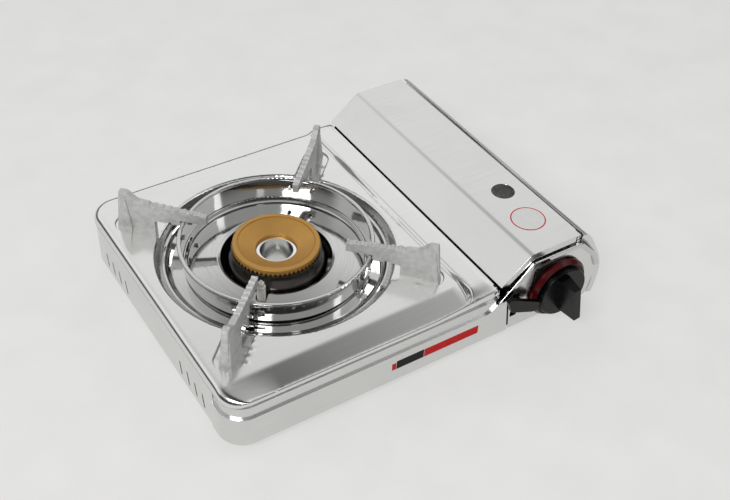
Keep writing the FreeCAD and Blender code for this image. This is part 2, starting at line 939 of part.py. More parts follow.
def burner_cap():
    """Brass flame spreader: a dished ring with teeth under its rim."""
    body = new_body("burner_cap", BURNER)
    foot = s.burner_top + s.seat_gap
    edge = s.cap_radius
    hole = s.cap_hole
    profile = [
        (hole, s.cap_collar_foot),
        (hole, s.cap_hole_height, 0.6),
        (edge - s.cap_rim - 0.9, s.cap_top - 0.5),
        (edge - s.cap_rim - 0.7, s.cap_top - 0.9),
        (edge - s.cap_rim, s.cap_top - 0.9),
        (edge - s.cap_rim + 0.3, s.cap_top),
        (edge, s.cap_top, 1),
        (edge, foot),
        (edge - 1.6, foot),
        (edge - 5, foot - 1),
        (hole + s.cap_collar, s.cap_hole_height - 2.2),
        (hole + s.cap_collar, s.cap_collar_foot),
    ]
    revolve(body, outline(body, XZ, profile))
    step = s.cap_radius * 2 * math.pi / s.tooth_count
    slot = [(edge - 1.4, -step / 4), (edge + 1, -step / 4), (edge + 1, step / 4), (edge - 1.4, step / 4)]
    tooth = pocket(body, outline(body, XY, slot, foot - 0.5), s.cap_tooth + 0.5)
    turn_pattern(body, [tooth], s.tooth_count)
    return keep(body)


def burner_stand():
    """Pressed bridge that carries the burner above the tray's air hole."""
    body = new_body("burner_stand", BURNER)
    top = s.burner_bottom - s.seat_gap
    low = s.sheet + s.seat_gap
    reach = s.burner_floor + 12
    profile = [
        (-reach - 14, low),
        (-reach, low),
        (-reach, top - s.sheet),
        (reach, top - s.sheet),
        (reach, low),
        (reach + 14, low),
        (reach + 14, low + s.sheet),
        (reach + s.sheet, low + s.sheet),
        (reach + s.sheet, top),
        (-reach - s.sheet, top),
        (-reach - s.sheet, low + s.sheet),
        (-reach - 14, low + s.sheet),
    ]
    pad(body, outline(body, XZ, profile), s.stand_width, both=True)
    bore = circles(body, XY, [(0, 0, s.stand_bore)], top - 4)
    pocket(body, bore, 8)
    holes = circles(body, XY, [(side * (reach + 8), 0, s.screw_shank + 0.1) for side in (-1, 1)], low - 1)
    pocket(body, holes, 4)
    return keep(body)


def electrode_place():
    turn = s.electrode_turn
    return at(
        s.burner_x + cosine(turn) * s.electrode_reach,
        s.burner_y + sine(turn) * s.electrode_reach,
        0,
    )


def electrode():
    """Ceramic spark electrode with a stepped top and a wire tip."""
    body = new_body("electrode", electrode_place())
    step = s.electrode_top - 4
    profile = [
        (0, s.electrode_foot),
        (s.ceramic_radius, s.electrode_foot, 0.8),
        (s.ceramic_radius, step, 0.8),
        (s.ceramic_radius - 1.1, step),
        (s.ceramic_radius - 1.1, s.electrode_top - 0.6, 0.5),
        (0.7, s.electrode_top - 0.6),
        (0.7, s.electrode_top + 1.4),
        (0, s.electrode_top + 1.4),
    ]
    revolve(body, outline(body, XZ, profile))
    return keep(body)


def electrode_bracket():
    """Strip that holds the electrode to the burner's side."""
    body = new_body("electrode_bracket", BURNER, SIZES["electrode_turn"])
    low = s.electrode_foot + 2
    rise = (low + s.bracket_sheet - s.burner_bottom) / (s.flare_height - s.burner_bottom)
    start = s.burner_floor + (s.burner_flare - s.burner_floor) * rise + s.seat_gap
    end = s.electrode_reach + s.ceramic_radius + 3
    plan = [(start, -5), (end, -5, 2), (end, 5, 2), (start, 5)]
    pad(body, outline(body, XY, plan, low), s.bracket_sheet)
    pocket(body, circles(body, XY, [(s.electrode_reach, 0, s.ceramic_radius + s.seat_gap)], low - 1), 4)
    return keep(body)


# ---------------------------------------------------------------- trivet

def trivet_ring():
    """Conical ring with a rolled top edge and a turned-in foot."""
    body = new_body("ring_form", BURNER)
    roll = s.bead_size / 2
    top = s.ring_top
    foot = s.ring_foot_radius
    outer = s.ring_radius
    profile = [
        (foot - s.ring_lip, s.ring_bottom),
        (foot + 0.4, s.ring_bottom, 2.2),
        (outer - roll * 0.4, top - s.bead_size),
        (outer, top - s.bead_size * 0.7),
        (outer, top, roll * 0.6),
        (outer - s.bead_size, top, roll * 0.6),
        (outer - s.bead_size, top - s.bead_size * 0.7),
        (outer - roll * 0.4 - 1, top - s.bead_size),
        (foot - 0.6, s.ring_bottom + 1, 1.2),
        (foot - s.ring_lip, s.ring_bottom + 1),
    ]
    revolve(body, outline(body, XZ, profile))
    holes = group("ring_holes", rivet_bars("ring_hole", s.rivet_radius + s.seat_gap))
    return keep(cut("trivet_ring", body, holes))


def foot_bottom():
    return s.plate_height - s.pocket_depth + s.seat_gap


def trivet_arm(number):
    """One pan support: toothed finger, waist, and a raised head that widens downwards."""
    body = new_body("trivet_arm_%d" % number, BURNER, 45 + 90 * (number - 1))
    low = foot_bottom()
    finger_end = s.arm_waist - 15
    finger_top = s.arm_waist_height - 1
    profile = [
        (s.arm_tip, s.arm_tip_bottom, 0.6),
        (s.arm_tip, s.arm_tip_top, 0.6),
        (finger_end, finger_top, 40),
        (s.arm_waist, s.arm_waist_height + 0.4, 6),
        (s.arm_head_start, s.arm_head_height, 3),
        (s.arm_end - s.arm_end_lean, s.arm_head_height, 1),
        (s.arm_end, low),
        (s.arm_foot_start, low),
        (s.arm_foot_start, s.arm_foot_top, 1),
        (s.lug_end, s.arm_tip_bottom - 3, 2),
        (s.lug_end, s.lug_bottom, 1),
        (s.lug_start, s.lug_bottom, 1),
        (s.lug_start, s.arm_tip_bottom),
    ]
    pad(body, outline(body, XZ, profile), s.arm_thickness, both=True)
    climb = (finger_top - s.arm_tip_top) / (finger_end - s.arm_tip)
    scoops = []
    for tooth in range(SIZES["arm_teeth"]):
        out = s.tooth_pitch * (tooth + 0.6)
        top = s.arm_tip_top + climb * out
        scoops.append((s.arm_tip + out, top + s.tooth_radius - s.tooth_depth, s.tooth_radius))
    pocket(body, circles(body, XZ, scoops), s.arm_thickness + 2, both=True)

    # the head is broad at its foot and has an upright ridge on its end
    def head(inner, outer, half, height):
        shoulder = outer - s.head_ridge / 2
        tip = outer + s.head_ridge / 2
        plan = [(inner, -half), (shoulder, -half), (tip, 0), (shoulder, half), (inner, half)]
        return outline(body, XY, plan, height)

    loft = body.newObject("PartDesign::AdditiveLoft", "arm_head")
    loft.Profile = head(s.arm_head_start - 3, s.arm_end, s.head_width / 2, low)
    top_end = s.arm_end - s.arm_end_lean - s.head_ridge
    loft.Sections = [head(s.arm_head_start + 2, top_end, s.arm_thickness / 2, s.arm_head_height - 1)]
    loft.Ruled = True
    doc.recompute()
    return keep(body)


def ring_outside(height):
    """Outer radius of the ring's cone at one height."""
    low = s.ring_foot_radius + 0.4
    lean = (s.ring_radius - s.bead_size * 0.2 - low) / (s.ring_top - s.bead_size - s.ring_bottom)
    return low + (height - s.ring_bottom) * lean


def arm_brackets():
    """Saddles curved round the ring, with two ears that hold each arm's lug."""
    low = s.lug_bottom
    high = low + s.bracket_height
    items = []
    for number in range(4):
        saddle = new_body("saddle_%d" % number, BURNER, 45 + 90 * number)
        inner_low = ring_outside(low) + s.seat_gap
        inner_high = ring_outside(high) + s.seat_gap
        section = [
            (inner_low, low),
            (inner_low + s.bracket_sheet, low),
            (inner_high + s.bracket_sheet, high),
            (inner_high, high),
        ]
        band = revolve(saddle, outline(saddle, XZ, section))
        band.Midplane = True
        spread = Size(2 * math.degrees(math.asin(s.bracket_width.value / 2 / s.ring_radius.value)),
                      "(2 * asin(sizes.bracket_width / 2 / sizes.ring_radius))")
        bind(band, "Angle", spread)
        doc.recompute()
        ear_in = s.arm_thickness / 2 + s.seat_gap
        ear_out = ear_in + s.bracket_sheet
        for side in (-1, 1):
            start = ring_outside(high) + s.bracket_sheet / 2
            ear = [
                (start, side * ear_in),
                (s.lug_end, side * ear_in),
                (s.lug_end, side * ear_out),
                (start, side * ear_out),
            ]
            pad(saddle, outline(saddle, XY, ear, low), s.bracket_height)
        items.append(saddle)
    holes = rivet_bars("saddle_hole", s.rivet_radius + s.seat_gap)
    drilled = []
    for number, saddle in enumerate(items):
        pair = group("holes", holes[2 * number: 2 * number + 2])
        drilled.append(cut("saddle_%d_drilled" % number, saddle, pair))
    return keep(group("arm_brackets", drilled))


def rivet_bars(name, radius):
    """Eight radial bars, two at each arm, where the rivets go."""
    bars = []
    start = s.ring_foot_radius - 1.6
    for number in range(4):
        spin = 45 + 90 * number
        angle = Size(spin, "%d" % spin)
        out = cosine(angle), sine(angle)
        for side in (-1, 1):
            along = side * s.rivet_offset
            bar = doc.addObject("Part::Cylinder", name)
            turn = FreeCAD.Rotation(FreeCAD.Vector(0, 0, 1), spin)
            bar.Placement.Rotation = turn.multiply(FreeCAD.Rotation(FreeCAD.Vector(0, 1, 0), 90))
            bind(bar, "Placement.Base.x", BURNER[0] + out[0] * start - out[1] * along)
            bind(bar, "Placement.Base.y", BURNER[1] + out[1] * start + out[0] * along)
            bind(bar, "Placement.Base.z", BURNER[2] + s.lug_bottom + s.bracket_height / 2)
            bind(bar, "Radius", radius)
            bind(bar, "Height", s.rivet_length)
            bars.append(bar)
    return bars


def arm_rivets():
    """Two rivets through each saddle and the ring."""
    return keep(group("arm_rivets", rivet_bars("rivet", s.rivet_radius)))


# ---------------------------------------------------------------- cartridge bay

def bay_profile(inset):
    """The lid's outer line from the seam to the hinge, moved in by inset."""
    slope = s.lid_crease - s.bay_seam
    rise = s.lid_height - s.strip_height
    half = inset * rise / slope * 0.62
    return [
        (s.bay_seam + inset * 1.15, s.strip_height - s.seat_gap),
        (s.lid_crease + half, s.lid_height - inset, s.crease_radius - inset * 0.99),
        (s.hinge_x, s.lid_height - inset),
    ]


def lid():
    """Hinged cover of the cartridge bay, with turned-down ends and a curled hinge."""
    body = new_body("lid")
    outer = bay_profile(size(0))
    inner = bay_profile(s.sheet)
    ring = outer + inner[::-1]
    pad(body, outline(body, XZ, ring, s.lid_front), s.lid_length)
    axis = s.lid_height - s.hinge_radius
    knuckle = circles(body, XZ, [(s.hinge_x, axis, s.hinge_radius)], s.lid_front + s.pin_length)
    pad(body, knuckle, s.lid_length - s.pin_length * 2)
    bore = circles(body, XZ, [(s.hinge_x, axis, s.hinge_pin + s.seat_gap)], s.lid_front + s.pin_length - 1)
    pocket(body, bore, s.lid_length)
    deep = bay_profile(s.lid_flange)
    flange_end = s.hinge_x - s.hinge_radius - s.run_gap * 3
    flange = [outer[0][:2], outer[1], (flange_end, s.lid_height), (flange_end, s.lid_height - s.lid_flange)]
    flange += [deep[1][:2], (s.bay_seam + s.lid_flange * 1.3, s.strip_height - s.seat_gap)]
    pad(body, outline(body, XZ, flange, s.lid_front), s.sheet)
    pad(body, outline(body, XZ, flange, s.lid_front + s.lid_length - s.sheet), s.sheet)
    sight = circles(body, XY, [(s.sight_x, s.sight_y, s.sight_radius)], s.lid_height - 4)
    pocket(body, sight, 8)
    return keep(body)


def shell_profile(inset):
    """The bay's right side in section, moved in by inset."""
    top = s.lid_height - 0.4
    start = s.hinge_x + s.hinge_radius + s.run_gap
    wide = s.casing_width
    return [
        (start, top - inset),
        (start + 3.5, top - 0.8 - inset, s.bay_bulge / 3 - inset),
        (wide - 10 - inset, s.lid_height * 0.68, s.bay_bulge - inset),
        (wide + 0.35 - inset, s.dial_height, s.bay_bulge / 4 - inset * 0.8),
        (s.bay_wall_foot - inset, s.seat_gap),
    ]


def bay_shell():
    """The curved right side of the casing, with a turned-in band at its front end."""
    body = new_body("bay_shell")
    outside = shell_profile(size(0))
    shape = outside + shell_profile(s.sheet)[::-1]
    pad(body, outline(body, XZ, shape, 0.2), s.lid_length)
    band = outside + shell_profile(s.shell_flange)[::-1]
    pad(body, outline(body, XZ, band, 0.2), s.sheet)
    return keep(body)


def bay_outline(inset):
    """The whole section of the bay inside its lid and shell, moved in by inset."""
    left = bay_profile(inset)
    right = shell_profile(inset)
    beside_shield = s.shield_x + s.sheet + s.seat_gap
    return [
        (beside_shield, s.sheet + s.seat_gap),
        (beside_shield, s.skirt_height - s.edge_roll / 2),
        left[0],
        (left[1][0], left[1][1], s.crease_radius / 2),
        (s.hinge_x + 1, s.lid_height - inset),
        (right[2][0], right[2][1], s.bay_bulge * 0.6),
        (right[3][0], right[3][1], 4),
        (right[4][0] - 0.6, s.sheet + s.seat_gap),
    ]


def bay_end():
    """Rear wall of the bay, with an ear for the rear hinge pin."""
    body = new_body("bay_end")
    start = s.lid_front + s.lid_length - s.sheet * 3 - s.run_gap
    pad(body, outline(body, XZ, bay_outline(s.hinge_radius + 1.7), start), s.sheet)
    hinge_ear(body, start - s.sheet)
    return keep(body)


def hinge_ear(body, start):
    """A tongue that reaches up to the lid's hinge line and holds its pin."""
    axis = s.lid_height - s.hinge_radius
    half = s.hinge_pin + 0.7
    tongue = [
        (s.hinge_x - half, axis - 16),
        (s.hinge_x + half, axis - 16),
        (s.hinge_x + half, axis + half, half * 0.98),
        (s.hinge_x - half, axis + half, half * 0.98),
    ]
    pad(body, outline(body, XZ, tongue, start), s.sheet * 2)
    pocket(body, circles(body, XZ, [(s.hinge_x, axis, s.hinge_pin)], start - 1), s.sheet * 2 + 2)


def heat_shield():
    """Upright partition between the burner and the cartridge."""
    body = new_body("heat_shield")
    front = s.ledge_step + s.sheet * 2
    back = s.casing_depth - s.sheet * 3 - s.run_gap
    low = s.sheet + s.seat_gap
    high = s.strip_height - s.sheet - s.seat_gap
    strip_back = s.casing_depth - s.edge_roll - 1
    behind_slope = s.front_slope + s.sheet + 1
    wall = [
        (front, low),
        (back, low),
        (back, s.plate_height - s.edge_roll - s.sheet),
        (strip_back - s.sheet * 3 - 1, high),
        (behind_slope, high),
        (front, s.lip_height - s.sheet * 2),
    ]
    pad(body, outline(body, YZ, wall, s.shield_x), s.sheet)
    foot_left = s.shield_x - 9
    foot_top = low + s.sheet
    foot = [(foot_left, low), (s.shield_x, low), (s.shield_x, foot_top), (foot_left, foot_top)]
    pad(body, outline(body, XZ, foot, front), back - front)
    crossing = s.nozzle_y + (s.nozzle_x - s.shield_x) * (s.burner_y - s.nozzle_y) / (s.nozzle_x - s.burner_x)
    half = s.tube_radius + 6
    window = [
        (crossing - half, s.tube_height - half),
        (crossing + half, s.tube_height - half),
        (crossing + half, s.tube_height + half),
        (crossing - half, s.tube_height + half),
    ]
    pocket(body, outline(body, YZ, window, s.shield_x - 1), s.sheet + 2)
    wire_hole = [(s.nozzle_y + s.wire_offset, s.wire_height, s.wire_radius + 1.6)]
    pocket(body, circles(body, YZ, wire_hole, s.shield_x - 1), s.sheet + 2)
    for first in (120, 170, 220):
        vent = [(first, 10), (first + 26, 10), (first + 26, 18), (first, 18)]
        pocket(body, outline(body, YZ, [(p[0], p[1], 3.9) for p in vent], s.shield_x - 1), s.sheet + 2)
    return keep(body)


def control_panel():
    """Front wall of the bay: the knob's and lever's face, with the hinge's front ear."""
    body = new_body("control_panel")
    right_of_seam = s.panel_seam_gap / 2
    edge = s.trim_inset
    line = bay_profile(edge)
    side = shell_profile(s.shell_flange + s.run_gap)
    plan = [
        (s.panel_seam_foot + right_of_seam, 0.9),
        (s.panel_seam_top + right_of_seam, s.swoop_height - 3),
        (s.panel_seam_top - 2, s.swoop_height + 1),
        (s.panel_seam_top - 7, s.swoop_height + 1),
        (line[1][0], line[1][1] + 1, 3),
        (side[0][0], s.lid_height - edge + 1, 3),
        side[2],
        side[3],
        (side[4][0], 0.9, 3),
    ]
    pad(body, outline(body, XZ, plan), s.panel_sheet)
    hinge_ear(body, s.lid_front + s.sheet + s.run_gap)
    web_top = s.lid_height - s.trim_inset - 2
    web = [
        (s.hinge_x - 1.6, web_top - 6),
        (s.hinge_x + 1.6, web_top - 6),
        (s.hinge_x + 1.6, web_top),
        (s.hinge_x - 1.6, web_top),
    ]
    pad(body, outline(body, XZ, web), s.lid_front + s.sheet + s.run_gap + s.sheet)
    stem_hole = [(s.dial_x, s.dial_height, s.stem_radius + s.run_gap)]
    pocket(body, circles(body, XZ, stem_hole, -1), s.panel_sheet + 2)
    slot_left = s.lever_neck_x - s.lever_neck_width / 2 - s.run_gap * 2
    slot_right = s.lever_neck_x + s.lever_neck_width / 2 + s.run_gap * 2
    slot = [
        (slot_left, s.lever_slot_foot, 1),
        (slot_right, s.lever_slot_foot, 1),
        (slot_right, s.lever_slot_top, 1),
        (slot_left, s.lever_slot_top, 1),
    ]
    pocket(body, outline(body, XZ, slot, -1), s.panel_sheet + 2)
    return keep(body)


def chrome_trim():
    """Bright moulding that follows the bay's outline on the front."""
    body = new_body("chrome_trim")
    wide = s.trim_width
    top = s.lid_height - s.trim_inset + 1.6
    right = s.casing_width - 6
    plan = [
        (s.panel_seam_top - 10, s.swoop_height + 1.6),
        (s.lid_crease + 1.8, top, 4),
        (s.hinge_x + 2.5, top, 9),
        (right - 4.5, s.lid_height * 0.62, 14),
        (right, s.dial_height + 5.6),
        (right - wide, s.dial_height + 4.6),
        (right - 4.5 - wide, s.lid_height * 0.6, 11),
        (s.hinge_x + 1.2, top - wide, 6),
        (s.lid_crease + 3.7, top - wide, 2),
        (s.panel_seam_top - 6.8, s.swoop_height - 1.7),
    ]
    pad(body, outline(body, XZ, plan, -s.trim_reach), s.trim_reach - s.seat_gap)

    def front_edges(middle, edge):
        return abs(middle.y + s.trim_reach.value) < 0.01

    round_edges(body, s.trim_reach * 0.45, front_edges)
    return keep(body)


# ---------------------------------------------------------------- controls

def dial_bezel():
    """Black rounded plate behind the dial."""
    body = new_body("dial_bezel")
    x = s.dial_x
    z = s.dial_height
    reach = s.dial_radius
    plan = [
        (x - reach, z + reach * 0.1),
        (x - reach * 0.92, z + reach * 0.97, 3),
        (x - reach * 0.27, z + reach * 1.03, 8),
        (x + reach * 0.2, z + reach * 0.97, 4),
        (x + reach * 0.4, z + reach * 0.8),
        (x + reach * 0.4, z),
    ]
    pad(body, outline(body, XZ, plan, -s.dial_back), s.dial_back - s.seat_gap)
    pocket(body, circles(body, XZ, [(x, z, s.stem_radius + s.run_gap)], -s.dial_back - 1), s.dial_back + 2)
    return keep(body)


def facing_front(label):
    """A body on the dial's axis whose own Z runs out of the panel."""
    body = new_body(label)
    place(body, at(s.dial_x, 0, s.dial_height), 90, (1, 0, 0))
    return body


def dial_plate():
    """Flat black disc behind the knob."""
    body = facing_front("dial_plate")
    start = s.dial_back + s.seat_gap
    rounds = [(0, 0, s.dial_face - s.seat_gap), (0, 0, s.stem_radius + s.run_gap)]
    pad(body, circles(body, XY, rounds, start), s.dial_thick)
    return keep(body)


def dial_ring():
    """Coloured collar round the dial plate, sloping out to a thin edge."""
    body = facing_front("dial_ring")
    start = s.dial_back + s.seat_gap
    profile = [
        (s.dial_face, start),
        (s.dial_radius, start),
        (s.dial_radius, start + s.dial_edge, 0.5),
        (s.dial_face + 0.4, start + s.dial_thick),
        (s.dial_face, start + s.dial_thick),
    ]
    revolve(body, outline(body, XZ, profile))
    return keep(body)


def knob():
    """Gas knob: round base with a tall grip bar, turned a little from upright."""
    body = new_body("knob")
    place(body, at(s.dial_x, 0, s.dial_height), -SIZES["knob_lean"], (0, 1, 0))
    base_back = -s.dial_back - s.seat_gap - s.dial_thick - s.run_gap
    base_front = base_back - s.knob_base
    pad(body, circles(body, XZ, [(0, 0, s.knob_radius)], base_front), s.knob_base)

    def front_rim(middle, edge):
        return abs(middle.y - base_front.value) < 0.01

    round_edges(body, 1.2, front_rim)
    half = s.knob_grip / 2
    tall = s.grip_length / 2
    wide = half + 2.2
    grip_back = [(-wide, -tall), (wide, -tall), (wide, tall), (-wide, tall)]
    grip_front = [(-half, -tall), (half, -tall), (half, tall), (-half, tall)]
    loft = body.newObject("PartDesign::AdditiveLoft", "knob_grip")
    loft.Profile = outline(body, XZ, grip_back, base_front)
    loft.Sections = [outline(body, XZ, grip_front, -s.knob_reach)]
    doc.recompute()
    bore = circles(body, XZ, [(0, 0, s.stem_radius + s.seat_gap)], base_back - s.knob_base - 3)
    pocket(body, bore, s.knob_base + 4)
    return keep(body)


def valve_stem():
    """Shaft from the knob into the regulator."""
    back = s.regulator_front + 8
    front = -s.dial_back - s.seat_gap - s.dial_thick - s.run_gap - s.knob_base - 2.5
    stem = cylinder("valve_stem", at(s.dial_x, front, s.dial_height), s.stem_radius, back - front, "Y")
    return keep(stem)


def lock_lever():
    """Lever that pulls the cartridge forward: thumb piece, neck, boss and short arm."""
    body = new_body("lock_lever")
    back = -s.lever_front + s.lever_thick
    thumb = [
        (s.lever_left, s.lever_top, 1.5),
        (s.lever_left + 5, s.lever_top - 0.2, 2),
        (s.lever_right - 1, s.lever_top - 15, 2),
        (s.lever_right, s.lever_top - 23.5, 2),
        (s.lever_right - 7.5, s.lever_top - 22.8, 3),
        (s.lever_left + 5, s.lever_top - 13.3, 3),
    ]
    pad(body, outline(body, XZ, thumb, -s.lever_front), s.lever_thick)
    left = s.lever_neck_x - s.lever_neck_width / 2
    pivot = s.lever_pivot_height
    neck = [
        (back - 1, pivot - 3.5),
        (s.lever_pivot_y, pivot - 3.5),
        (s.lever_pivot_y, pivot + 2.5),
        (back - 1, pivot + 2.5),
    ]
    pad(body, outline(body, YZ, neck, left), s.lever_neck_width)
    pad(body, circles(body, YZ, [(s.lever_pivot_y, pivot, s.lever_boss)], left), s.lever_neck_width)
    arm = [
        (s.lever_pivot_y - 2.5, pivot),
        (s.lever_pivot_y + 2.5, pivot),
        (s.lever_pivot_y + 2, pivot + s.lever_arm + 3, 1.5),
        (s.lever_pivot_y - 2, pivot + s.lever_arm + 3, 1.5),
    ]
    pad(body, outline(body, YZ, arm, left), s.lever_neck_width)
    bore = circles(body, YZ, [(s.lever_pivot_y, pivot, s.lever_pin + s.seat_gap)], left - 1)
    pocket(body, bore, s.lever_neck_width + 2)
    return keep(body)


def lever_bracket():
    """U-shaped bracket on the floor that carries the lever's pin."""
    body = new_body("lever_bracket")
    low = s.sheet + s.seat_gap
    mid = s.lever_neck_x
    wide = s.bracket_wide / 2 - 4
    side = s.bracket_sheet
    profile = [
        (mid - wide - side, low),
        (mid + wide + side, low),
        (mid + wide + side, s.lever_pivot_height + 5),
        (mid + wide, s.lever_pivot_height + 5),
        (mid + wide, low + side),
        (mid - wide, low + side),
        (mid - wide, s.lever_pivot_height + 5),
        (mid - wide - side, s.lever_pivot_height + 5),
    ]
    start = s.lever_pivot_y - 6
    pad(body, outline(body, XZ, profile, start), 12)
    pin_hole = [(s.lever_pivot_y, s.lever_pivot_height, s.lever_pin + s.seat_gap)]
    pocket(body, circles(body, YZ, pin_hole, mid - wide - side - 1), s.bracket_wide + 4)
    pocket(body, circles(body, XY, [(mid, s.lever_pivot_y, s.screw_shank + 0.1)], low - 1), 4)
    return keep(body)


def lever_pin():
    half = s.bracket_wide / 2 - 4 + s.bracket_sheet + 1
    where = at(s.lever_neck_x - half, s.lever_pivot_y, s.lever_pivot_height)
    return keep(cylinder("lever_pin", where, s.lever_pin, half * 2, "X"))


def carriage():
    """Slide along the floor: a bar, an upright for the lever and a rear stop."""
    body = new_body("carriage")
    left = s.carriage_x - s.carriage_width / 2
    right = s.carriage_x + s.carriage_width / 2
    low = s.sheet + s.run_gap
    rear = s.cartridge_y + s.cartridge_length + 1
    front = s.lever_pivot_y - 2.5 - s.run_gap - s.bracket_sheet
    bar = [(left, front), (right, front), (right, rear), (left, rear)]
    pad(body, outline(body, XY, bar, low), s.bracket_sheet)
    stop = [
        (left, low),
        (s.cartridge_x + 20, low, 2),
        (s.cartridge_x + 20, s.cartridge_radius, 8),
        (s.cartridge_x - 16, s.cartridge_radius, 8),
        (s.cartridge_x - 22, low + 14, 6),
        (left, low + 8, 2),
    ]
    pad(body, outline(body, XZ, stop, rear - s.bracket_sheet), s.bracket_sheet)
    upright = [
        (left + 1, low),
        (right, low),
        (right, s.lever_pivot_height + 6),
        (s.lever_neck_x + 2, s.lever_pivot_height + 7.5, 1),
        (s.lever_neck_x + 2, s.lever_pivot_height + s.lever_arm, 1),
        (left + 4, s.lever_pivot_height + s.lever_arm, 3),
        (left + 1, s.lever_pivot_height + 4, 3),
    ]
    pad(body, outline(body, XZ, upright, front), s.bracket_sheet)
    return keep(body)


def carriage_guides():
    """Two bridges on the floor that hold the slide down."""
    items = []
    left = s.carriage_x - s.carriage_width / 2 - s.run_gap
    right = s.carriage_x + s.carriage_width / 2 + s.run_gap
    low = s.sheet + s.seat_gap
    roof = s.sheet + s.run_gap * 2 + s.bracket_sheet
    for number, start in enumerate((110, 190)):
        body = new_body("guide_%d" % number)
        profile = [
            (left - s.sheet, low),
            (left, low),
            (left, roof),
            (right, roof),
            (right, low),
            (right + 6, low),
            (right + 6, low + s.sheet),
            (right + s.sheet, low + s.sheet),
            (right + s.sheet, roof + s.sheet),
            (left - s.sheet, roof + s.sheet),
        ]
        pad(body, outline(body, XZ, profile, start), 12)
        items.append(body)
    return keep(group("carriage_guides", items))


def cartridge_cradle():
    """Pressed cradle that the cartridge lies in."""
    body = new_body("cartridge_cradle")
    low = s.sheet + s.seat_gap
    half = s.cartridge_radius / 2
    profile = [
        (s.cartridge_x - half + 5, low),
        (s.cartridge_x + half + 9, low),
        (s.cartridge_x + half + 9, low + s.sheet),
        (s.cartridge_x + half + 3.5, low + s.sheet),
        (s.cartridge_x + half, low + 7),
        (s.cartridge_x + half - 1.2, low + 7),
        (s.cartridge_x + half + 1.5, low + s.sheet),
        (s.cartridge_x - half + 8, low + s.sheet),
        (s.cartridge_x - half + 1.2, low + 7),
        (s.cartridge_x - half, low + 7),
    ]
    pad(body, outline(body, XZ, profile, s.cartridge_y + 20), s.cartridge_length - 45)
    first = [
        (s.cartridge_x - 7, s.cartridge_y + 35, 5),
        (s.cartridge_x + 7, s.cartridge_y + 35, 5),
        (s.cartridge_x + 7, s.cartridge_y + 60, 5),
        (s.cartridge_x - 7, s.cartridge_y + 60, 5),
    ]
    window = pocket(body, outline(body, XY, first, low - 1), 4)
    row_pattern(body, [window], "Y_Axis", 70, 3)
    return keep(body)


def cartridge_axis():
    return s.sheet * 2 + s.seat_gap + 1.5 + s.cartridge_radius


def regulator():
    """Cast regulator: valve barrel behind the knob and a socket for the cartridge."""
    body = new_body("regulator_form")
    start = s.regulator_front
    pad(body, circles(body, XZ, [(s.dial_x, s.dial_height, s.regulator_radius)], start), s.regulator_length)
    centre = cartridge_axis()
    collar = [(s.cartridge_x, centre, s.socket_radius + 5)]
    pad(body, circles(body, XZ, collar, start + 6), s.regulator_length - 2)
    socket = [(s.cartridge_x, centre, s.socket_radius)]
    socket_floor = start + s.regulator_length + 4 - s.socket_depth
    pocket(body, circles(body, XZ, socket, socket_floor), s.socket_depth + 1)
    bore = circles(body, XZ, [(s.dial_x, s.dial_height, s.stem_radius + s.seat_gap)], start - 1)
    pocket(body, bore, 10)

    def front_rim(middle, edge):
        return abs(middle.y - start.value) < 0.01 and edge.Length > 60

    round_edges(body, 1.5, front_rim)
    outlet = cylinder("outlet_bore", outlet_place(), s.gas_tube_radius + s.seat_gap, 5, "Y")
    return keep(cut("regulator", body, outlet))


def outlet_place():
    end = s.regulator_front + s.regulator_length
    return at(s.dial_x - 8, end - 4, s.dial_height - 12)


def regulator_cap():
    """Round cover over the regulator's diaphragm, on its right side."""
    body = new_body("regulator_cap", at(s.dial_x, 0, s.dial_height))
    start = s.regulator_radius + s.seat_gap
    middle = s.regulator_front + s.regulator_length / 2
    rounds = [(middle, 0, 12)]
    pad(body, circles(body, YZ, rounds, start), 5)
    pad(body, circles(body, YZ, [(middle, 0, 7)], start + 5), 3)
    return keep(body)


def regulator_bracket():
    """Saddle between the regulator and the floor."""
    low = s.sheet + s.seat_gap
    where = at(s.dial_x - 13, s.regulator_front + 4, low)
    block = box("bracket_block", where, 26, s.regulator_length - 8, 12)
    gap = cylinder("bracket_gap", at(s.dial_x, 0, s.dial_height), s.regulator_radius + s.seat_gap, 60, "Y")
    return keep(cut("regulator_bracket", block, gap))


def piezo_igniter():
    """Push-type spark unit beside the regulator."""
    where = at(s.piezo_x, s.regulator_front, s.piezo_height)
    shell = cylinder("piezo_shell", where, s.piezo_radius, s.piezo_length, "Y")
    ahead = at(s.piezo_x, s.panel_sheet + s.seat_gap, s.piezo_height)
    nose = cylinder("piezo_nose", ahead, s.piezo_radius - 2.5, s.regulator_front, "Y")
    return keep(fuse("piezo_igniter", [shell, nose]))


def nozzle():
    """Brass jet on the axis of the mixing tube."""
    body = new_body("nozzle", at(s.nozzle_x, s.nozzle_y, s.tube_height))
    aim(body)
    profile = [(-14, 0), (-14, 1.8), (-12, 2.6), (-4, 2.6), (-4, 5), (3, 5), (3, 3.4), (6, 3.4), (6, 0)]
    sketch = outline(body, XZ, profile)
    feature = body.newObject("PartDesign::Revolution", "nozzle_turn")
    feature.Profile = sketch
    feature.ReferenceAxis = (sketch, ["H_Axis"])
    doc.recompute()
    return keep(body)


def nozzle_bracket():
    """Plate across the shield's window that holds the jet."""
    half = s.tube_radius + 9
    crossing = s.nozzle_y + (s.nozzle_x - s.shield_x) * (s.burner_y - s.nozzle_y) / (s.nozzle_x - s.burner_x)
    where = at(s.shield_x + s.sheet + s.seat_gap, crossing - half, s.tube_height - 9)
    plate = box("bracket_plate", where, s.bracket_sheet, half * 2, 18)
    bore = new_body("jet_bore", at(s.nozzle_x, s.nozzle_y, s.tube_height))
    aim(bore)
    pad(bore, circles(bore, YZ, [(0, 0, 5 + s.seat_gap)], -14), 22)
    return keep(cut("nozzle_bracket", plate, bore))


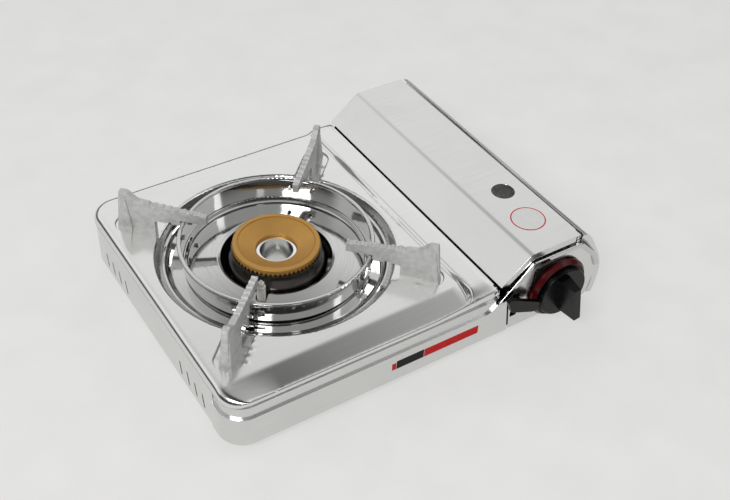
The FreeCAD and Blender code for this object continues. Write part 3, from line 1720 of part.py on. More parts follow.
def round_wire(label, points, radius):
    """A round bar along straight runs joined by arcs as large as the runs allow."""
    spots = [FreeCAD.Vector(*p) for p in points]
    edges = []
    last = spots[0]
    for before, here, after in zip(spots, spots[1:], spots[2:]):
        back = (before - here)
        on = (after - here)
        half_turn = (math.pi - back.getAngle(on)) / 2
        trim = 0.45 * min(back.Length, on.Length)
        back.normalize()
        on.normalize()
        print(label, "bend radius", round(trim / math.tan(half_turn), 1))
        start = here + back * trim
        end = here + on * trim
        bend = back + on
        bend.normalize()
        bow = trim / math.cos(math.pi / 2 - half_turn) if half_turn < 0.001 else trim / math.tan(half_turn)
        centre_gap = math.sqrt(trim * trim + bow * bow)
        middle = here + bend * (centre_gap - bow)
        edges.append(Part.LineSegment(last, start).toShape())
        edges.append(Part.Arc(start, middle, end).toShape())
        last = end
    edges.append(Part.LineSegment(last, spots[-1]).toShape())
    path = Part.Wire(edges)
    heading = spots[1] - spots[0]
    ring = Part.Wire([Part.Circle(spots[0], heading, radius).toShape()])
    bar = path.makePipeShell([ring], True, True)
    item = doc.addObject("Part::Feature", label)
    item.Label = label
    item.Shape = bar
    item.Placement.Base = FreeCAD.Vector(CORNER[0].value, CORNER[1].value, CORNER[2].value)
    print(label, "volume share", round(bar.Volume / (path.Length * math.pi * radius ** 2), 4))
    return keep(item)


def gas_tube():
    """Copper pipe from the regulator's outlet to the jet."""
    turn = math.radians(tube_turn().value)
    jet_x, jet_y, jet_z = s.nozzle_x.value, s.nozzle_y.value, s.tube_height.value
    start, knee = [(jet_x + run * math.cos(turn), jet_y + run * math.sin(turn), jet_z) for run in (6.1, 14)]
    end_x, end_y, end_z = [amount.value - corner.value for amount, corner in zip(outlet_place(), CORNER)]
    points = [
        start,
        knee,
        (end_x - 23.4, jet_y - 15, jet_z - 5),
        (end_x - 9.4, end_y + 15, end_z + 2),
        (end_x, end_y + 12, end_z),
        (end_x, end_y + 0.2, end_z),
    ]
    return round_wire("gas_tube", points, s.gas_tube_radius.value)


def ignition_wire():
    """Insulated wire from the spark unit, through the shield, to the electrode's foot."""
    rear = (s.regulator_front + s.piezo_length).value + 0.1
    end_x, end_y, _ = [amount.value - corner.value for amount, corner in zip(electrode_place(), CORNER)]
    start = s.piezo_x.value, rear, s.piezo_height.value
    hole = s.shield_x.value, (s.nozzle_y + s.wire_offset).value, s.wire_height.value
    points = [
        start,
        (start[0] - 1, rear + 16, start[2] - 1.5),
        (hole[0] + 14, hole[1] - 4, hole[2]),
        (hole[0] - 14, hole[1] + 1, hole[2]),
        (hole[0] - 49, hole[1], hole[2] - 1),
        (end_x + 75, end_y - 18, hole[2] - 2.5),
        (end_x + 43, end_y - 22, hole[2] - 2.5),
        (end_x + 17, end_y - 14, hole[2] - 1),
        (end_x + 2, end_y - 2, hole[2] + 6),
        (end_x, end_y, s.electrode_foot.value - 0.3),
    ]
    return round_wire("ignition_wire", points, s.wire_radius.value)


# ---------------------------------------------------------------- feet and fasteners

def corner_spots():
    right = s.casing_width - s.foot_inset
    back = s.casing_depth - s.foot_inset
    return [(s.foot_inset, s.foot_inset), (right, s.foot_inset), (right, back), (s.foot_inset, back)]


def feet():
    """Four rubber feet under the corners of the floor."""
    items = []
    for number, (x, y) in enumerate(corner_spots()):
        foot = doc.addObject("Part::Cone", "foot_%d" % number)
        place(foot, at(x, y, -s.foot_height))
        bind(foot, "Radius1", s.foot_radius - 1)
        bind(foot, "Radius2", s.foot_radius)
        bind(foot, "Height", s.foot_height)
        items.append(foot)
    return keep(group("feet", items))


def screw_spots():
    reach = s.burner_floor + 20
    return [
        (s.burner_x - reach, s.burner_y),
        (s.burner_x + reach, s.burner_y),
        (s.lever_neck_x, s.lever_pivot_y),
    ]


def case_screws():
    """Screws from under the floor into the burner stand and the lever's bracket."""
    items = []
    for number, (x, y) in enumerate(screw_spots()):
        head = cylinder("screw_head_%d" % number, at(x, y, -1.3), s.screw_head, 1.25)
        shank = cylinder("screw_shank_%d" % number, at(x, y, -0.5), s.screw_shank, 4)
        items.append(fuse("screw_%d" % number, [head, shank]))
    return keep(group("case_screws", items))


def hinge_pins():
    """Two pins, one at each end of the lid's hinge."""
    axis = s.lid_height - s.hinge_radius
    front = s.lid_front + s.sheet + s.run_gap
    long = s.pin_length * 2 - 2
    first = cylinder("front_pin", at(s.hinge_x, front, axis), s.hinge_pin, long, "Y")
    last = s.lid_front + s.lid_length - s.sheet - s.run_gap - long
    second = cylinder("rear_pin", at(s.hinge_x, last, axis), s.hinge_pin, long, "Y")
    return keep(group("hinge_pins", [first, second]))


def build_all():
    base_tray()
    front_panel()
    top_plate()
    reflector_bowl()
    burner_body()
    mixing_tube()
    burner_cap()
    burner_stand()
    electrode()
    electrode_bracket()
    trivet_ring()
    for number in range(1, 5):
        trivet_arm(number)
    arm_brackets()
    arm_rivets()
    lid()
    bay_shell()
    bay_end()
    heat_shield()
    control_panel()
    chrome_trim()
    dial_bezel()
    dial_plate()
    dial_ring()
    knob()
    valve_stem()
    lock_lever()
    lever_bracket()
    lever_pin()
    carriage()
    carriage_guides()
    cartridge_cradle()
    regulator()
    regulator_cap()
    regulator_bracket()
    piezo_igniter()
    nozzle()
    nozzle_bracket()
    gas_tube()
    ignition_wire()
    feet()
    case_screws()
    hinge_pins()

build_all()

doc.recompute()
for item in doc.Objects:
    if "Invalid" in item.State or "Error" in item.State:
        raise RuntimeError("%s: %s" % (item.Name, item.State))
GROUPS = ("arm_brackets", "arm_rivets", "carriage_guides", "feet", "case_screws", "hinge_pins")
SINGLE = [node.Label for node in NODES if node.Label not in GROUPS]
os.makedirs("parts", exist_ok=True)
for node in NODES:
    shape = node.Shape
    if node.Label in SINGLE and len(shape.Solids) != 1:
        raise RuntimeError(node.Label + " is not one solid")
    if shape.isNull() or not shape.isValid():
        raise RuntimeError(node.Label + " has no sound shape")
    print(node.Label, len(shape.Solids), round(shape.Volume), shape.BoundBox)
    shape.exportStep("parts/%s.step" % node.Label)
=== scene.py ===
import json
import math
import bmesh
import bpy
from mathutils import Matrix, Vector
from mathutils.geometry import delaunay_2d_cdt


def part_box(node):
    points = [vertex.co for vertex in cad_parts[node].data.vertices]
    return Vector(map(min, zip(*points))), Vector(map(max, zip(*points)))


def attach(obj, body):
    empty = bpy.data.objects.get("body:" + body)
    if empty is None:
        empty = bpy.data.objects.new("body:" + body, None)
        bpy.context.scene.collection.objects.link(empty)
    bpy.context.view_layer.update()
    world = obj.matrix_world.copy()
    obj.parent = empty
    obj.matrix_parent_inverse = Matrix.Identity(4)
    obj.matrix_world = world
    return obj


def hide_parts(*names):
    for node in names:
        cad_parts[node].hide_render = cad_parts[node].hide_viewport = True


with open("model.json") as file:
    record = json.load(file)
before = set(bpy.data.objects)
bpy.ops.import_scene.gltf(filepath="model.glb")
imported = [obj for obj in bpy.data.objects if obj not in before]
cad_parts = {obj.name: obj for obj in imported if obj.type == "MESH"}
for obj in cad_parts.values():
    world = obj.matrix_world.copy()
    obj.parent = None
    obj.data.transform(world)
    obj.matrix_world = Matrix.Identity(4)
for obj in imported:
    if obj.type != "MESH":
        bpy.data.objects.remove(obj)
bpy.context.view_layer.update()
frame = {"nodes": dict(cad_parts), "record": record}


# ---- camera
# A long lens, above and to the left of the stove's front, with a slight roll.
# Its axes are worked out from the azimuth, elevation and roll.
azimuth, elevation, roll = (math.radians(a) for a in (-33.95, 41.34, 2.74))
camera_place = (-0.38158, -0.57794, 0.64906)
level = Vector((math.cos(azimuth), math.sin(azimuth), 0))
ahead = Vector((-math.sin(azimuth), math.cos(azimuth), 0))
back = Vector((0, 0, 1)) * math.sin(elevation) - ahead * math.cos(elevation)
rise = back.cross(level)
right = level * math.cos(roll) + rise * math.sin(roll)
up = rise * math.cos(roll) - level * math.sin(roll)
lens = bpy.data.cameras.new("camera")
lens.sensor_width = 36
lens.lens = 55.35
lens.shift_x = 0.0074
lens.shift_y = -0.0014
lens.clip_end = 50
camera = bpy.data.objects.new("camera", lens)
turned = Matrix((right, up, back)).transposed().to_4x4()
camera.matrix_world = Matrix.Translation(camera_place) @ turned
bpy.context.scene.collection.objects.link(camera)
bpy.context.scene.camera = camera


# ---- studio
# A wide pale floor inside a ring of soft light, with a dark roof and a dark skirting,
# and three soft lamps. Metal shows the ring, and the floor keeps the stove's shadow.
def linear(colour):
    """A hex colour as linear red, green, blue and alpha."""
    parts = [int(colour[i:i + 2], 16) / 255 for i in (1, 3, 5)]
    return [p / 12.92 if p <= 0.04045 else ((p + 0.055) / 1.055) ** 2.4 for p in parts] + [1]


def add(tree, kind, settings=(), stops=(), **links):
    """A new node. Settings are its properties and stops a ramp's (position, grey or hex) marks.

    Every other name is an input, by its name or its number: a value, or a socket to link.
    """
    node = tree.nodes.new(kind)
    for key, value in dict(settings).items():
        setattr(node, key, value)
    for key, value in links.items():
        fits = [s for s in node.inputs if s.name.replace(" ", "_") == key and s.enabled]
        socket = fits[0] if fits else node.inputs[int(key[1:])]
        if isinstance(value, bpy.types.NodeSocket):
            tree.links.new(value, socket)
        else:
            socket.default_value = value
    if stops:
        marks = node.color_ramp.elements
        while len(marks) < len(stops):
            marks.new(0.5)
        for mark, (place, colour) in zip(marks, stops):
            mark.position = place
            mark.color = linear(colour) if isinstance(colour, str) else (colour, colour, colour, 1)
    return node


world = bpy.data.worlds.new("studio")
bpy.context.scene.world = world
world.use_nodes = True
tree = world.node_tree
tree.nodes.clear()
heading = add(tree, "ShaderNodeTexCoord").outputs["Generated"]
height = add(tree, "ShaderNodeSeparateXYZ", Vector=heading).outputs["Z"]
# height is the sine of the elevation: beyond the stove the light stands between 25 and 60
# degrees, and on the camera's side it is a narrow band
beyond = add(tree, "ShaderNodeValToRGB", Fac=height, stops=[
    (0.0, 0.08), (0.30, 0.10), (0.46, 1.0), (0.66, 0.92), (0.80, 0.62), (0.88, 0.44), (0.96, 0.05)])
near = add(tree, "ShaderNodeValToRGB", Fac=height, stops=[
    (0.0, 0.05), (0.52, 0.06), (0.64, 0.62), (0.74, 0.62), (0.84, 0.10), (1.0, 0.04)])
to_camera_side = (-0.5, -0.866, 0)
facing = add(tree, "ShaderNodeVectorMath", {"operation": "DOT_PRODUCT"}, _0=heading,
             _1=to_camera_side)
side = add(tree, "ShaderNodeValToRGB", Fac=facing.outputs["Value"],
           stops=[(0.02, 0.0), (0.35, 1.0)])
side.color_ramp.interpolation = "EASE"
tent = add(tree, "ShaderNodeMix", {"data_type": "RGBA"}, Factor=side.outputs["Color"],
           A=beyond.outputs["Color"], B=near.outputs["Color"])
light = add(tree, "ShaderNodeBackground", Color=tent.outputs["Result"], Strength=1.0)
add(tree, "ShaderNodeOutputWorld", Surface=light.outputs[0])


def new_piece(name, shape, material):
    """A piece at the origin from a bmesh, which is freed."""
    mesh = bpy.data.meshes.new(name)
    shape.to_mesh(mesh)
    shape.free()
    mesh.materials.append(material)
    piece = bpy.data.objects.new(name, mesh)
    bpy.context.scene.collection.objects.link(piece)
    return piece


def new_material(name):
    """An empty node material; returns it, its tree and its Object coordinates in millimetres."""
    material = bpy.data.materials.new(name)
    material.use_nodes = True
    tree = material.node_tree
    tree.nodes.clear()
    place = add(tree, "ShaderNodeTexCoord").outputs["Object"]
    scaled = add(tree, "ShaderNodeMapping", Vector=place, Scale=(1000, 1000, 1000))
    return material, tree, scaled.outputs[0]


# studio paper, rolled matt: an even pale face with faint clouds 50 mm across
paper, tree, spot = new_material("matte_paper")
fibre = add(tree, "ShaderNodeTexNoise", Vector=spot, Scale=0.02, Detail=2).outputs["Fac"]
tint = add(tree, "ShaderNodeValToRGB", Fac=fibre, stops=[(0.3, "#F0F0EE"), (0.7, "#F4F4F2")])
tint = tint.outputs["Color"]
lit = add(tree, "ShaderNodeBsdfPrincipled", Base_Color=tint, Roughness=0.9)
# two thirds of what is seen of the paper, straight or in metal, is its own even glow
glow = add(tree, "ShaderNodeEmission", Color=tint, Strength=0.9)
ray = add(tree, "ShaderNodeLightPath").outputs
seen = add(tree, "ShaderNodeMath", {"operation": "ADD"}, _0=ray["Is Camera Ray"],
           _1=ray["Is Glossy Ray"])
seen = add(tree, "ShaderNodeMath", {"operation": "ADD"}, _0=seen.outputs[0],
           _1=ray["Is Transmission Ray"])
share = add(tree, "ShaderNodeMath", {"operation": "MULTIPLY", "use_clamp": True},
            _0=seen.outputs[0], _1=0.65)
both = add(tree, "ShaderNodeMixShader", Fac=share.outputs[0], _1=lit.outputs[0], _2=glow.outputs[0])
add(tree, "ShaderNodeOutputMaterial", Surface=both.outputs[0])

sweep = bmesh.new()
bmesh.ops.create_grid(sweep, x_segments=1, y_segments=1, size=6)
new_piece("floor", sweep, paper)


def lamp(name, place, width, depth, power):
    """A soft rectangular lamp that points at the stove's middle."""
    data = bpy.data.lights.new(name, "AREA")
    data.shape = "RECTANGLE"
    data.size = width
    data.size_y = depth
    data.energy = power
    item = bpy.data.objects.new(name, data)
    facing = Vector((0, 0, 0.03)) - Vector(place)
    turned = facing.to_track_quat("-Z", "Y").to_matrix().to_4x4()
    item.matrix_world = Matrix.Translation(place) @ turned
    bpy.context.scene.collection.objects.link(item)


lamp("key", (-1.16, -0.75, 1.35), 0.9, 0.6, 15)
lamp("strip_front", (-0.35, -1.8, 0.95), 0.25, 0.9, 0.9)
lamp("strip_right", (1.25, -1.1, 1.3), 0.3, 0.7, 1.0)


# ---- casing: floor tray, front panel, bay end and control panel
# Folded from 0.8 mm stainless sheet and spot-welded and screwed together.
# The folds are tight, so each edge catches a thin line of light.
MM = 0.001


def sheet_metal(name, colour, roughness, rolled=(0.02, 2.0, 2.0), wave=0.1, spread=0.05):
    """Rolled sheet, whose marks run the long way of the scale called rolled.

    They are half a millimetre wide, over clouds of 45 mm in the shine and waves of 70 mm.
    """
    material, tree, spot = new_material(name)
    cloud = add(tree, "ShaderNodeTexNoise", Vector=spot, Scale=0.022, Detail=3).outputs["Fac"]
    rough = add(tree, "ShaderNodeMapRange", Value=cloud, From_Min=0.3, From_Max=0.7,
                To_Min=roughness - spread, To_Max=roughness + spread).outputs["Result"]
    along = add(tree, "ShaderNodeMapping", Vector=spot, Scale=rolled).outputs[0]
    lines = add(tree, "ShaderNodeTexNoise", Vector=along, Scale=1.0, Detail=2).outputs["Fac"]
    relief = add(tree, "ShaderNodeBump", Strength=0.1, Distance=0.02 * MM, Height=lines).outputs[0]
    broad = add(tree, "ShaderNodeTexNoise", Vector=spot, Scale=0.014, Detail=1).outputs["Fac"]
    relief = add(tree, "ShaderNodeBump", Distance=wave * MM, Height=broad, Normal=relief).outputs[0]
    shade = add(tree, "ShaderNodeValToRGB", Fac=lines, stops=[(0.35, 0.6), (0.65, 1.0)])
    tone = add(tree, "ShaderNodeMix", {"data_type": "RGBA", "blend_type": "MULTIPLY"}, Factor=0.12,
               A=linear(colour), B=shade.outputs["Color"]).outputs["Result"]
    shader = add(tree, "ShaderNodeBsdfPrincipled", Base_Color=tone, Metallic=1.0, Roughness=rough,
                 Normal=relief)
    add(tree, "ShaderNodeOutputMaterial", Surface=shader.outputs[0])
    return material


def ride_with(piece, node):
    """Move a piece with the body that its node belongs to."""
    members = frame["record"]["behaviour"]["bodies"].items()
    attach(piece, next(body for body, nodes in members if node in nodes))


def settle(piece, node):
    """Ride with a node and stand for it; the node is hidden."""
    ride_with(piece, node)
    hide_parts(node)


def dress(node, material, angle=11, edge=0.0):
    """A merged copy of a node with its finish: smooth below angle, edges softened by edge mm."""
    shown = frame["nodes"][node].copy()
    shown.data = shown.data.copy()
    shown.name = node + "_finished"
    for key in [k for k in shown.keys() if k.startswith("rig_")]:
        del shown[key]
    shown.parent = None
    bpy.context.scene.collection.objects.link(shown)
    shape = bmesh.new()
    shape.from_mesh(shown.data)
    bmesh.ops.remove_doubles(shape, verts=shape.verts, dist=0.002 * MM)
    limit = math.radians(angle)
    if edge:
        bmesh.ops.dissolve_limit(shape, angle_limit=math.radians(0.05), verts=shape.verts,
                                 edges=shape.edges)
    for line in shape.edges:
        line.smooth = len(line.link_faces) == 2 and line.calc_face_angle(0) < limit
    for face in shape.faces:
        face.smooth = True
    shape.to_mesh(shown.data)
    shape.free()
    if edge:
        soft = shown.modifiers.new("softened_edges", "BEVEL")
        soft.width = edge * MM
        soft.segments = 2
        soft.limit_method = "ANGLE"
        soft.angle_limit = limit
    flat = shown.modifiers.new("flat_faces_stay_flat", "WEIGHTED_NORMAL")
    flat.weight = 90
    flat.keep_sharp = True
    shown.data.materials.clear()
    shown.data.materials.append(material)
    settle(shown, node)
    return shown


# stainless sheet as it comes from the mill: a dull shine with soft clouds
case_steel = sheet_metal("mill_finish_stainless", "#DEDEDD", 0.22)
for node in ("base_tray", "front_panel", "bay_end", "control_panel"):
    dress(node, case_steel, edge=0.25)


# ---- bay shell
# The stove's right side: one 0.8 mm stainless sheet rolled to an arc from the hinge down to
# the foot, with a narrow band turned in at its front end. It is screwed to the tray.
FIT = Vector((-171.5, -114.75, 8.0))   # the casing's lower left front corner, mm
SHEET = 0.8
ARC = ((314.6, 71.8), (318.5, 70.0), (325.0, 63.5), (331.5, 52.5), (336.8, 42.0), (340.3, 32.0),
       (341.3, 22.0), (340.2, 11.0), (337.6, 0.1))   # across and up from there
ARC_STEPS = 6
# the (inset, place along the stove) of each row: the side, its rounded edge, the band's rim
SHELL_ROWS = ((0, 255.2), (0, 1.6), (0.2, 0.9), (0.6, 0.42), (1.4, 0.2), (6.5, 0.2))


def at(x, y, z):
    """A place in millimetres from the casing's lower left front corner, in the scene's metres."""
    return ((x + FIT.x) * MM, (y + FIT.y) * MM, (z + FIT.z) * MM)


def face_towards(shape, way):
    """Turn an open skin's faces so that most of it looks the given way."""
    bmesh.ops.recalc_face_normals(shape, faces=shape.faces)
    if sum(face.normal.dot(way) * face.calc_area() for face in shape.faces) < 0:
        bmesh.ops.reverse_faces(shape, faces=shape.faces)


def sheet_piece(name, shape, material):
    """A piece of sheet from its outer skin: smooth, with the sheet's thickness inwards."""
    for face in shape.faces:
        face.smooth = True
    piece = new_piece(name, shape, material)
    gauge = piece.modifiers.new("sheet_thickness", "SOLIDIFY")
    gauge.thickness = SHEET * MM
    gauge.offset = -1
    return piece


# a smooth curve that passes through each of the arc's points
knots = [Vector(p) for p in (ARC[0],) + ARC + (ARC[-1],)]
curve = []
for k in range(1, len(knots) - 2):
    before, start, end, after = knots[k - 1:k + 3]
    for t in [i / ARC_STEPS for i in range(ARC_STEPS)]:
        bent = (end - before) * t + (2 * before - 5 * start + 4 * end - after) * t * t
        bent += (3 * start - before - 3 * end + after) * t ** 3
        curve.append(start + bent / 2)
curve.append(knots[-1])
skin = bmesh.new()
rows = []
for inset, y in SHELL_ROWS:
    row = []
    for i, point in enumerate(curve):
        run = curve[min(i + 1, len(curve) - 1)] - curve[max(i - 1, 0)]
        x, z = point + Vector((run.y, -run.x)).normalized() * inset
        row.append(skin.verts.new(at(x, y, z)))
    rows.append(row)
for first, second in zip(rows, rows[1:]):
    for i in range(len(curve) - 1):
        skin.faces.new((first[i], first[i + 1], second[i + 1], second[i]))
face_towards(skin, Vector((1, 0, 0)))
settle(sheet_piece("rolled_bay_shell", skin, case_steel), "bay_shell")


# ---- top plate
# One sheet of 0.8 mm stainless, deep-drawn in several strokes into platform, gutter, lip,
# strip beside the lid, sink for the bowl and four sinks for the trivet's feet. Its rolled
# edge drops over the tray and is screwed to it.

# polished stainless: brighter and smoother than the case, and still slightly wavy
plate_steel = sheet_metal("polished_pressed_stainless", "#E6E6E5", 0.17, wave=0.12, spread=0.03)
# heights and places are in millimetres from the casing's lower left front corner
PLATE, STRIP, LIP, SKIRT = 47.0, 50.2, 44.4, 38.5
FRONT, BACK, SEAM = 0.5, 257.0, 234.3
# the corners from above, and the roll of the edge, which is tight along the front
CORNER_R, ROLL, FRONT_ROLL = 20.0, 6.0, 1.3
TIGHTER_FROM, TIGHTER_RUN = 2, 16
# the strip: its left and front edges, its corner, and its slope down to the lip
STRIP_EDGE, LIP_EDGE, STRIP_CORNER, STRIP_FRONT, STRIP_RUN = 214.7, 1.7, 12.5, 2.2, 12.1
LIP_CLIMB, CLIMB_FROM = 0.0895, 175
# it sags a little beside the lid
SAG, SAG_FROM, SAG_RUN = 0.5, 229, 5
# its wall falls so many millimetres in one, and more in front and to the left
WALL, WALL_FOLD = 1.13, 1.2
MORE_IN_FRONT, IN_FRONT_FROM, IN_FRONT_RUN = 0.6, 34, 12
MORE_AT_LEFT, AT_LEFT_FROM, AT_LEFT_RUN = 0.9, 203, 14
# the gutter: a slope from the platform down to its floor, which fades out to the left
SLOPE_BACK, GUTTER_FRONT, GUTTER_DEPTH, TURN, TURN_INSET = 22.0, 3.6, 5.0, 9.4, 2.2
FADE_FROM, FADE_RUN = 45, 37
SLOPE_FOLD, FLOOR_FOLD = 0.5, 0.4
# the bowl's sink narrows from its rim to a flat seat, and a foot sink is a round-ended slot
BURNER_AT, SINK, SINK_REACH = (109.4, 130.1), 96.6, 102
SEAT, SEAT_Z, SEAT_WIDTH = 91.0, 39.0, 1.8
SEAT_FOLD, RIM_FOLD = 3.0, 1.4
FOOT_FROM, FOOT_END, FOOT_HALF, FOOT_DEPTH, FOOT_WALL = 60, 136.0, 11.5, 1.8, 0.9
DIAGONALS = (45, 135, 225, 315)


def ease(t):
    """A smooth step from 0 to 1."""
    t = min(max(t, 0.0), 1.0)
    return t * t * (3 - 2 * t)


def soft_max(a, b, blend):
    """The larger of two heights, with the fold between them rounded."""
    near = max(blend - abs(a - b), 0.0) / blend
    return max(a, b) + near * near * blend / 4


def soft_min(a, b, blend):
    """The smaller of two heights, with the fold between them rounded."""
    return -soft_max(-a, -b, blend)


def edge_distance(x, y):
    """Distance in from the plate's rolled outline; the right side has no roll."""
    y_in = min(y - FRONT, BACK - y)
    if x < CORNER_R and y_in < CORNER_R:
        return CORNER_R - math.hypot(CORNER_R - x, CORNER_R - y_in)
    return min(x, y_in)


def strip_distance(x, y):
    """Distance in from the top line of the wall round the gutter's right end."""
    a, b = STRIP_EDGE - x, y - LIP_EDGE
    if a < STRIP_CORNER and b < STRIP_CORNER:
        return STRIP_CORNER - math.hypot(STRIP_CORNER - a, STRIP_CORNER - b)
    return min(a, b)


def gutter_fall(x, y):
    """How far the gutter lies below the platform; it bends round the platform's corner."""
    deep = GUTTER_DEPTH + (PLATE - LIP - GUTTER_DEPTH) * ease((FADE_FROM - x) / FADE_RUN)
    turn_x, turn_y = STRIP_EDGE - TURN_INSET - TURN, SLOPE_BACK + TURN
    if x > turn_x and y < turn_y:
        run = math.hypot(x - turn_x, y - turn_y) - TURN
    else:
        run = max(SLOPE_BACK - y, x - turn_x - TURN)
    fall = soft_max(0.0, run * GUTTER_DEPTH / (SLOPE_BACK - GUTTER_FRONT), SLOPE_FOLD)
    if deep == GUTTER_DEPTH:
        fall = soft_min(fall, deep, FLOOR_FOLD)
    else:
        fall = fall * deep / GUTTER_DEPTH
    return min(fall, deep)


def foot_fall(x, y):
    """How far the four sinks for the trivet's feet lie below the platform."""
    fall = 0
    for diagonal in DIAGONALS:
        angle = math.radians(diagonal)
        dx, dy = x - BURNER_AT[0], y - BURNER_AT[1]
        along = dx * math.cos(angle) + dy * math.sin(angle)
        across = dy * math.cos(angle) - dx * math.sin(angle)
        if along > FOOT_FROM:
            inside = FOOT_HALF - math.hypot(max(along - FOOT_END + FOOT_HALF, 0), across)
            fall += FOOT_DEPTH * ease(inside / FOOT_WALL)
    return fall


def plate_height(x, y):
    """Height of the pressed plate's upper side."""
    height = PLATE - gutter_fall(x, y) - foot_fall(x, y)
    lip = LIP + max(0.0, x - CLIMB_FROM) * LIP_CLIMB
    top = lip + (STRIP - lip) * ease((y - STRIP_FRONT) / STRIP_RUN)
    top -= SAG * ease((x - SAG_FROM) / SAG_RUN)
    steep = WALL + MORE_IN_FRONT * ease((IN_FRONT_FROM - y) / IN_FRONT_RUN)
    steep += MORE_AT_LEFT * ease((AT_LEFT_FROM - x) / AT_LEFT_RUN)
    wall = top - steep * soft_max(0.0, strip_distance(x, y), WALL_FOLD)
    height = soft_max(height, wall, WALL_FOLD)
    out = math.hypot(x - BURNER_AT[0], y - BURNER_AT[1])
    if out < SINK_REACH:
        slope = (PLATE - SEAT_Z) / (SINK - SEAT)
        sink = soft_max(SEAT_Z, SEAT_Z + (out - SEAT) * slope, SEAT_FOLD)
        height = soft_min(height, sink, RIM_FOLD)
    # the roll is wide at the left and back, and tight along the front lip
    front_share = ease((CORNER_R + FRONT - y) / CORNER_R)
    front_share *= ease((x - TIGHTER_FROM) / TIGHTER_RUN)
    roll = ROLL + (FRONT_ROLL - ROLL) * front_share
    inward = edge_distance(x, y)
    if inward < roll:
        height -= roll - math.sqrt(max(roll ** 2 - (roll - inward) ** 2, 0.0))
    return height


def arc_points(centre, radius, first, last, step):
    """Points on an arc, angles in degrees."""
    count = max(2, int(abs(last - first) / step))
    angles = [math.radians(first + (last - first) * i / count) for i in range(count + 1)]
    return [(centre[0] + radius * math.cos(a), centre[1] + radius * math.sin(a)) for a in angles]


def line_points(first, last, step):
    """Evenly spaced points from first to last."""
    count = max(1, int(math.dist(first, last) / step))
    return [tuple(p + (q - p) * i / count for p, q in zip(first, last)) for i in range(count + 1)]


def rim_points(inward, step):
    """The plate's outline moved in: front from right to left, left side, back to the right."""
    r = CORNER_R - inward
    return (line_points((SEAM, FRONT + inward), (CORNER_R, FRONT + inward), step)
            + arc_points((CORNER_R, FRONT + CORNER_R), r, 270, 180, 4)[1:]
            + line_points((inward, FRONT + CORNER_R), (inward, BACK - CORNER_R), step)[1:]
            + arc_points((CORNER_R, BACK - CORNER_R), r, 180, 90, 4)[1:]
            + line_points((CORNER_R, BACK - inward), (SEAM, BACK - inward), step)[1:])


# the sheet is measured on lines that follow its folds, close together where it bends
spots = []
for inward in (0, 0.15, 0.4, 0.75, 1.2, 1.8, 2.6, 3.6, 4.8, 6, 7.5):
    spots += rim_points(inward, 3)
seat_edge = SEAT - SEAT_WIDTH
for radius in [seat_edge, SEAT - 1] + [SEAT + 0.35 * i for i in range(27)] + [101.5, 103]:
    spots += arc_points(BURNER_AT, radius, 0, 360, 1.5)[:-1]
gutter_rows = [FRONT + 0.25 * i for i in range(1, 16)]
gutter_rows += [4.8, 6, 8, 11, 14, 17, 19.5, 20.7, 21.4, 22, 22.6, 23.3, 24.6]
for y in gutter_rows:
    spots += line_points((14, y), (203, y), 2)
corner_y = LIP_EDGE + STRIP_CORNER
for inward in [-4, -3, -2, -1.2] + [-0.8 + 0.4 * i for i in range(30)] + [12]:
    radius = STRIP_CORNER - inward
    if radius > 0.3:
        spots += arc_points((STRIP_EDGE - STRIP_CORNER, corner_y), radius, -90, 0, 5)
    spots += line_points((STRIP_EDGE - inward, corner_y), (STRIP_EDGE - inward, BACK - 8), 4)
for x in (227, 228.5, 229.5, 230.5, 231.5, 232.5, 233.5, SEAM):
    spots += line_points((x, 4), (x, BACK - 8), 4)
for diagonal in DIAGONALS:
    cosine, sine = math.cos(math.radians(diagonal)), math.sin(math.radians(diagonal))
    for inside in (-0.3, 0, 0.15, 0.3, 0.45, 0.6, 0.75, 0.9, 1.3):
        half = FOOT_HALF - inside
        slot = arc_points((FOOT_END - FOOT_HALF, 0), half, -90, 90, 5)
        slot += [(along, across) for across in (half, -half) for along in range(94, 125, 2)]
        spots += [(BURNER_AT[0] + p * cosine - q * sine, BURNER_AT[1] + p * sine + q * cosine)
                  for p, q in slot]
spots += [(x, y) for x in range(10, 234, 5) for y in range(10, 256, 5)
          if not -5 < strip_distance(x, y) < 12]
spots += [(196 + 0.5 * i, 2.6 + 0.5 * k) for i in range(40) for k in range(50)]

# spots closer than a quarter of a millimetre are thinned out, but not on the outline
known, corners = set(), []
for x, y in spots:
    inner = edge_distance(x, y) > 0.1 and x < SEAM - 0.1
    key = (round(x * 4), round(y * 4)) if inner else (x, y)
    on_sheet = edge_distance(x, y) > -0.001 and math.dist((x, y), BURNER_AT) > seat_edge - 0.01
    if key not in known and on_sheet:
        known.add(key)
        corners.append(Vector((x, y)))
flat, _, faces, _, _, _ = delaunay_2d_cdt(corners, [], [], 0, 0.01)
skin = bmesh.new()
made = [skin.verts.new(at(x, y, plate_height(x, y))) for x, y in flat]
for face in faces:
    middle = sum((flat[i] for i in face), Vector((0, 0))) / len(face)
    if math.dist(middle, BURNER_AT) > seat_edge + 0.1 and edge_distance(*middle) > -0.05:
        skin.faces.new([made[i] for i in face])
bmesh.ops.delete(skin, geom=[v for v in skin.verts if not v.link_faces], context="VERTS")
face_towards(skin, Vector((0, 0, 1)))
outer = [e for e in skin.edges if e.is_boundary
         and all(edge_distance(v.co.x / MM - FIT.x, v.co.y / MM - FIT.y) < 0.05 for v in e.verts)]
drop = bmesh.ops.extrude_edge_only(skin, edges=outer)["geom"]
for vert in [g for g in drop if isinstance(g, bmesh.types.BMVert)]:
    vert.co.z = (SKIRT + FIT.z) * MM
settle(sheet_piece("pressed_plate", skin, plate_steel), "top_plate")
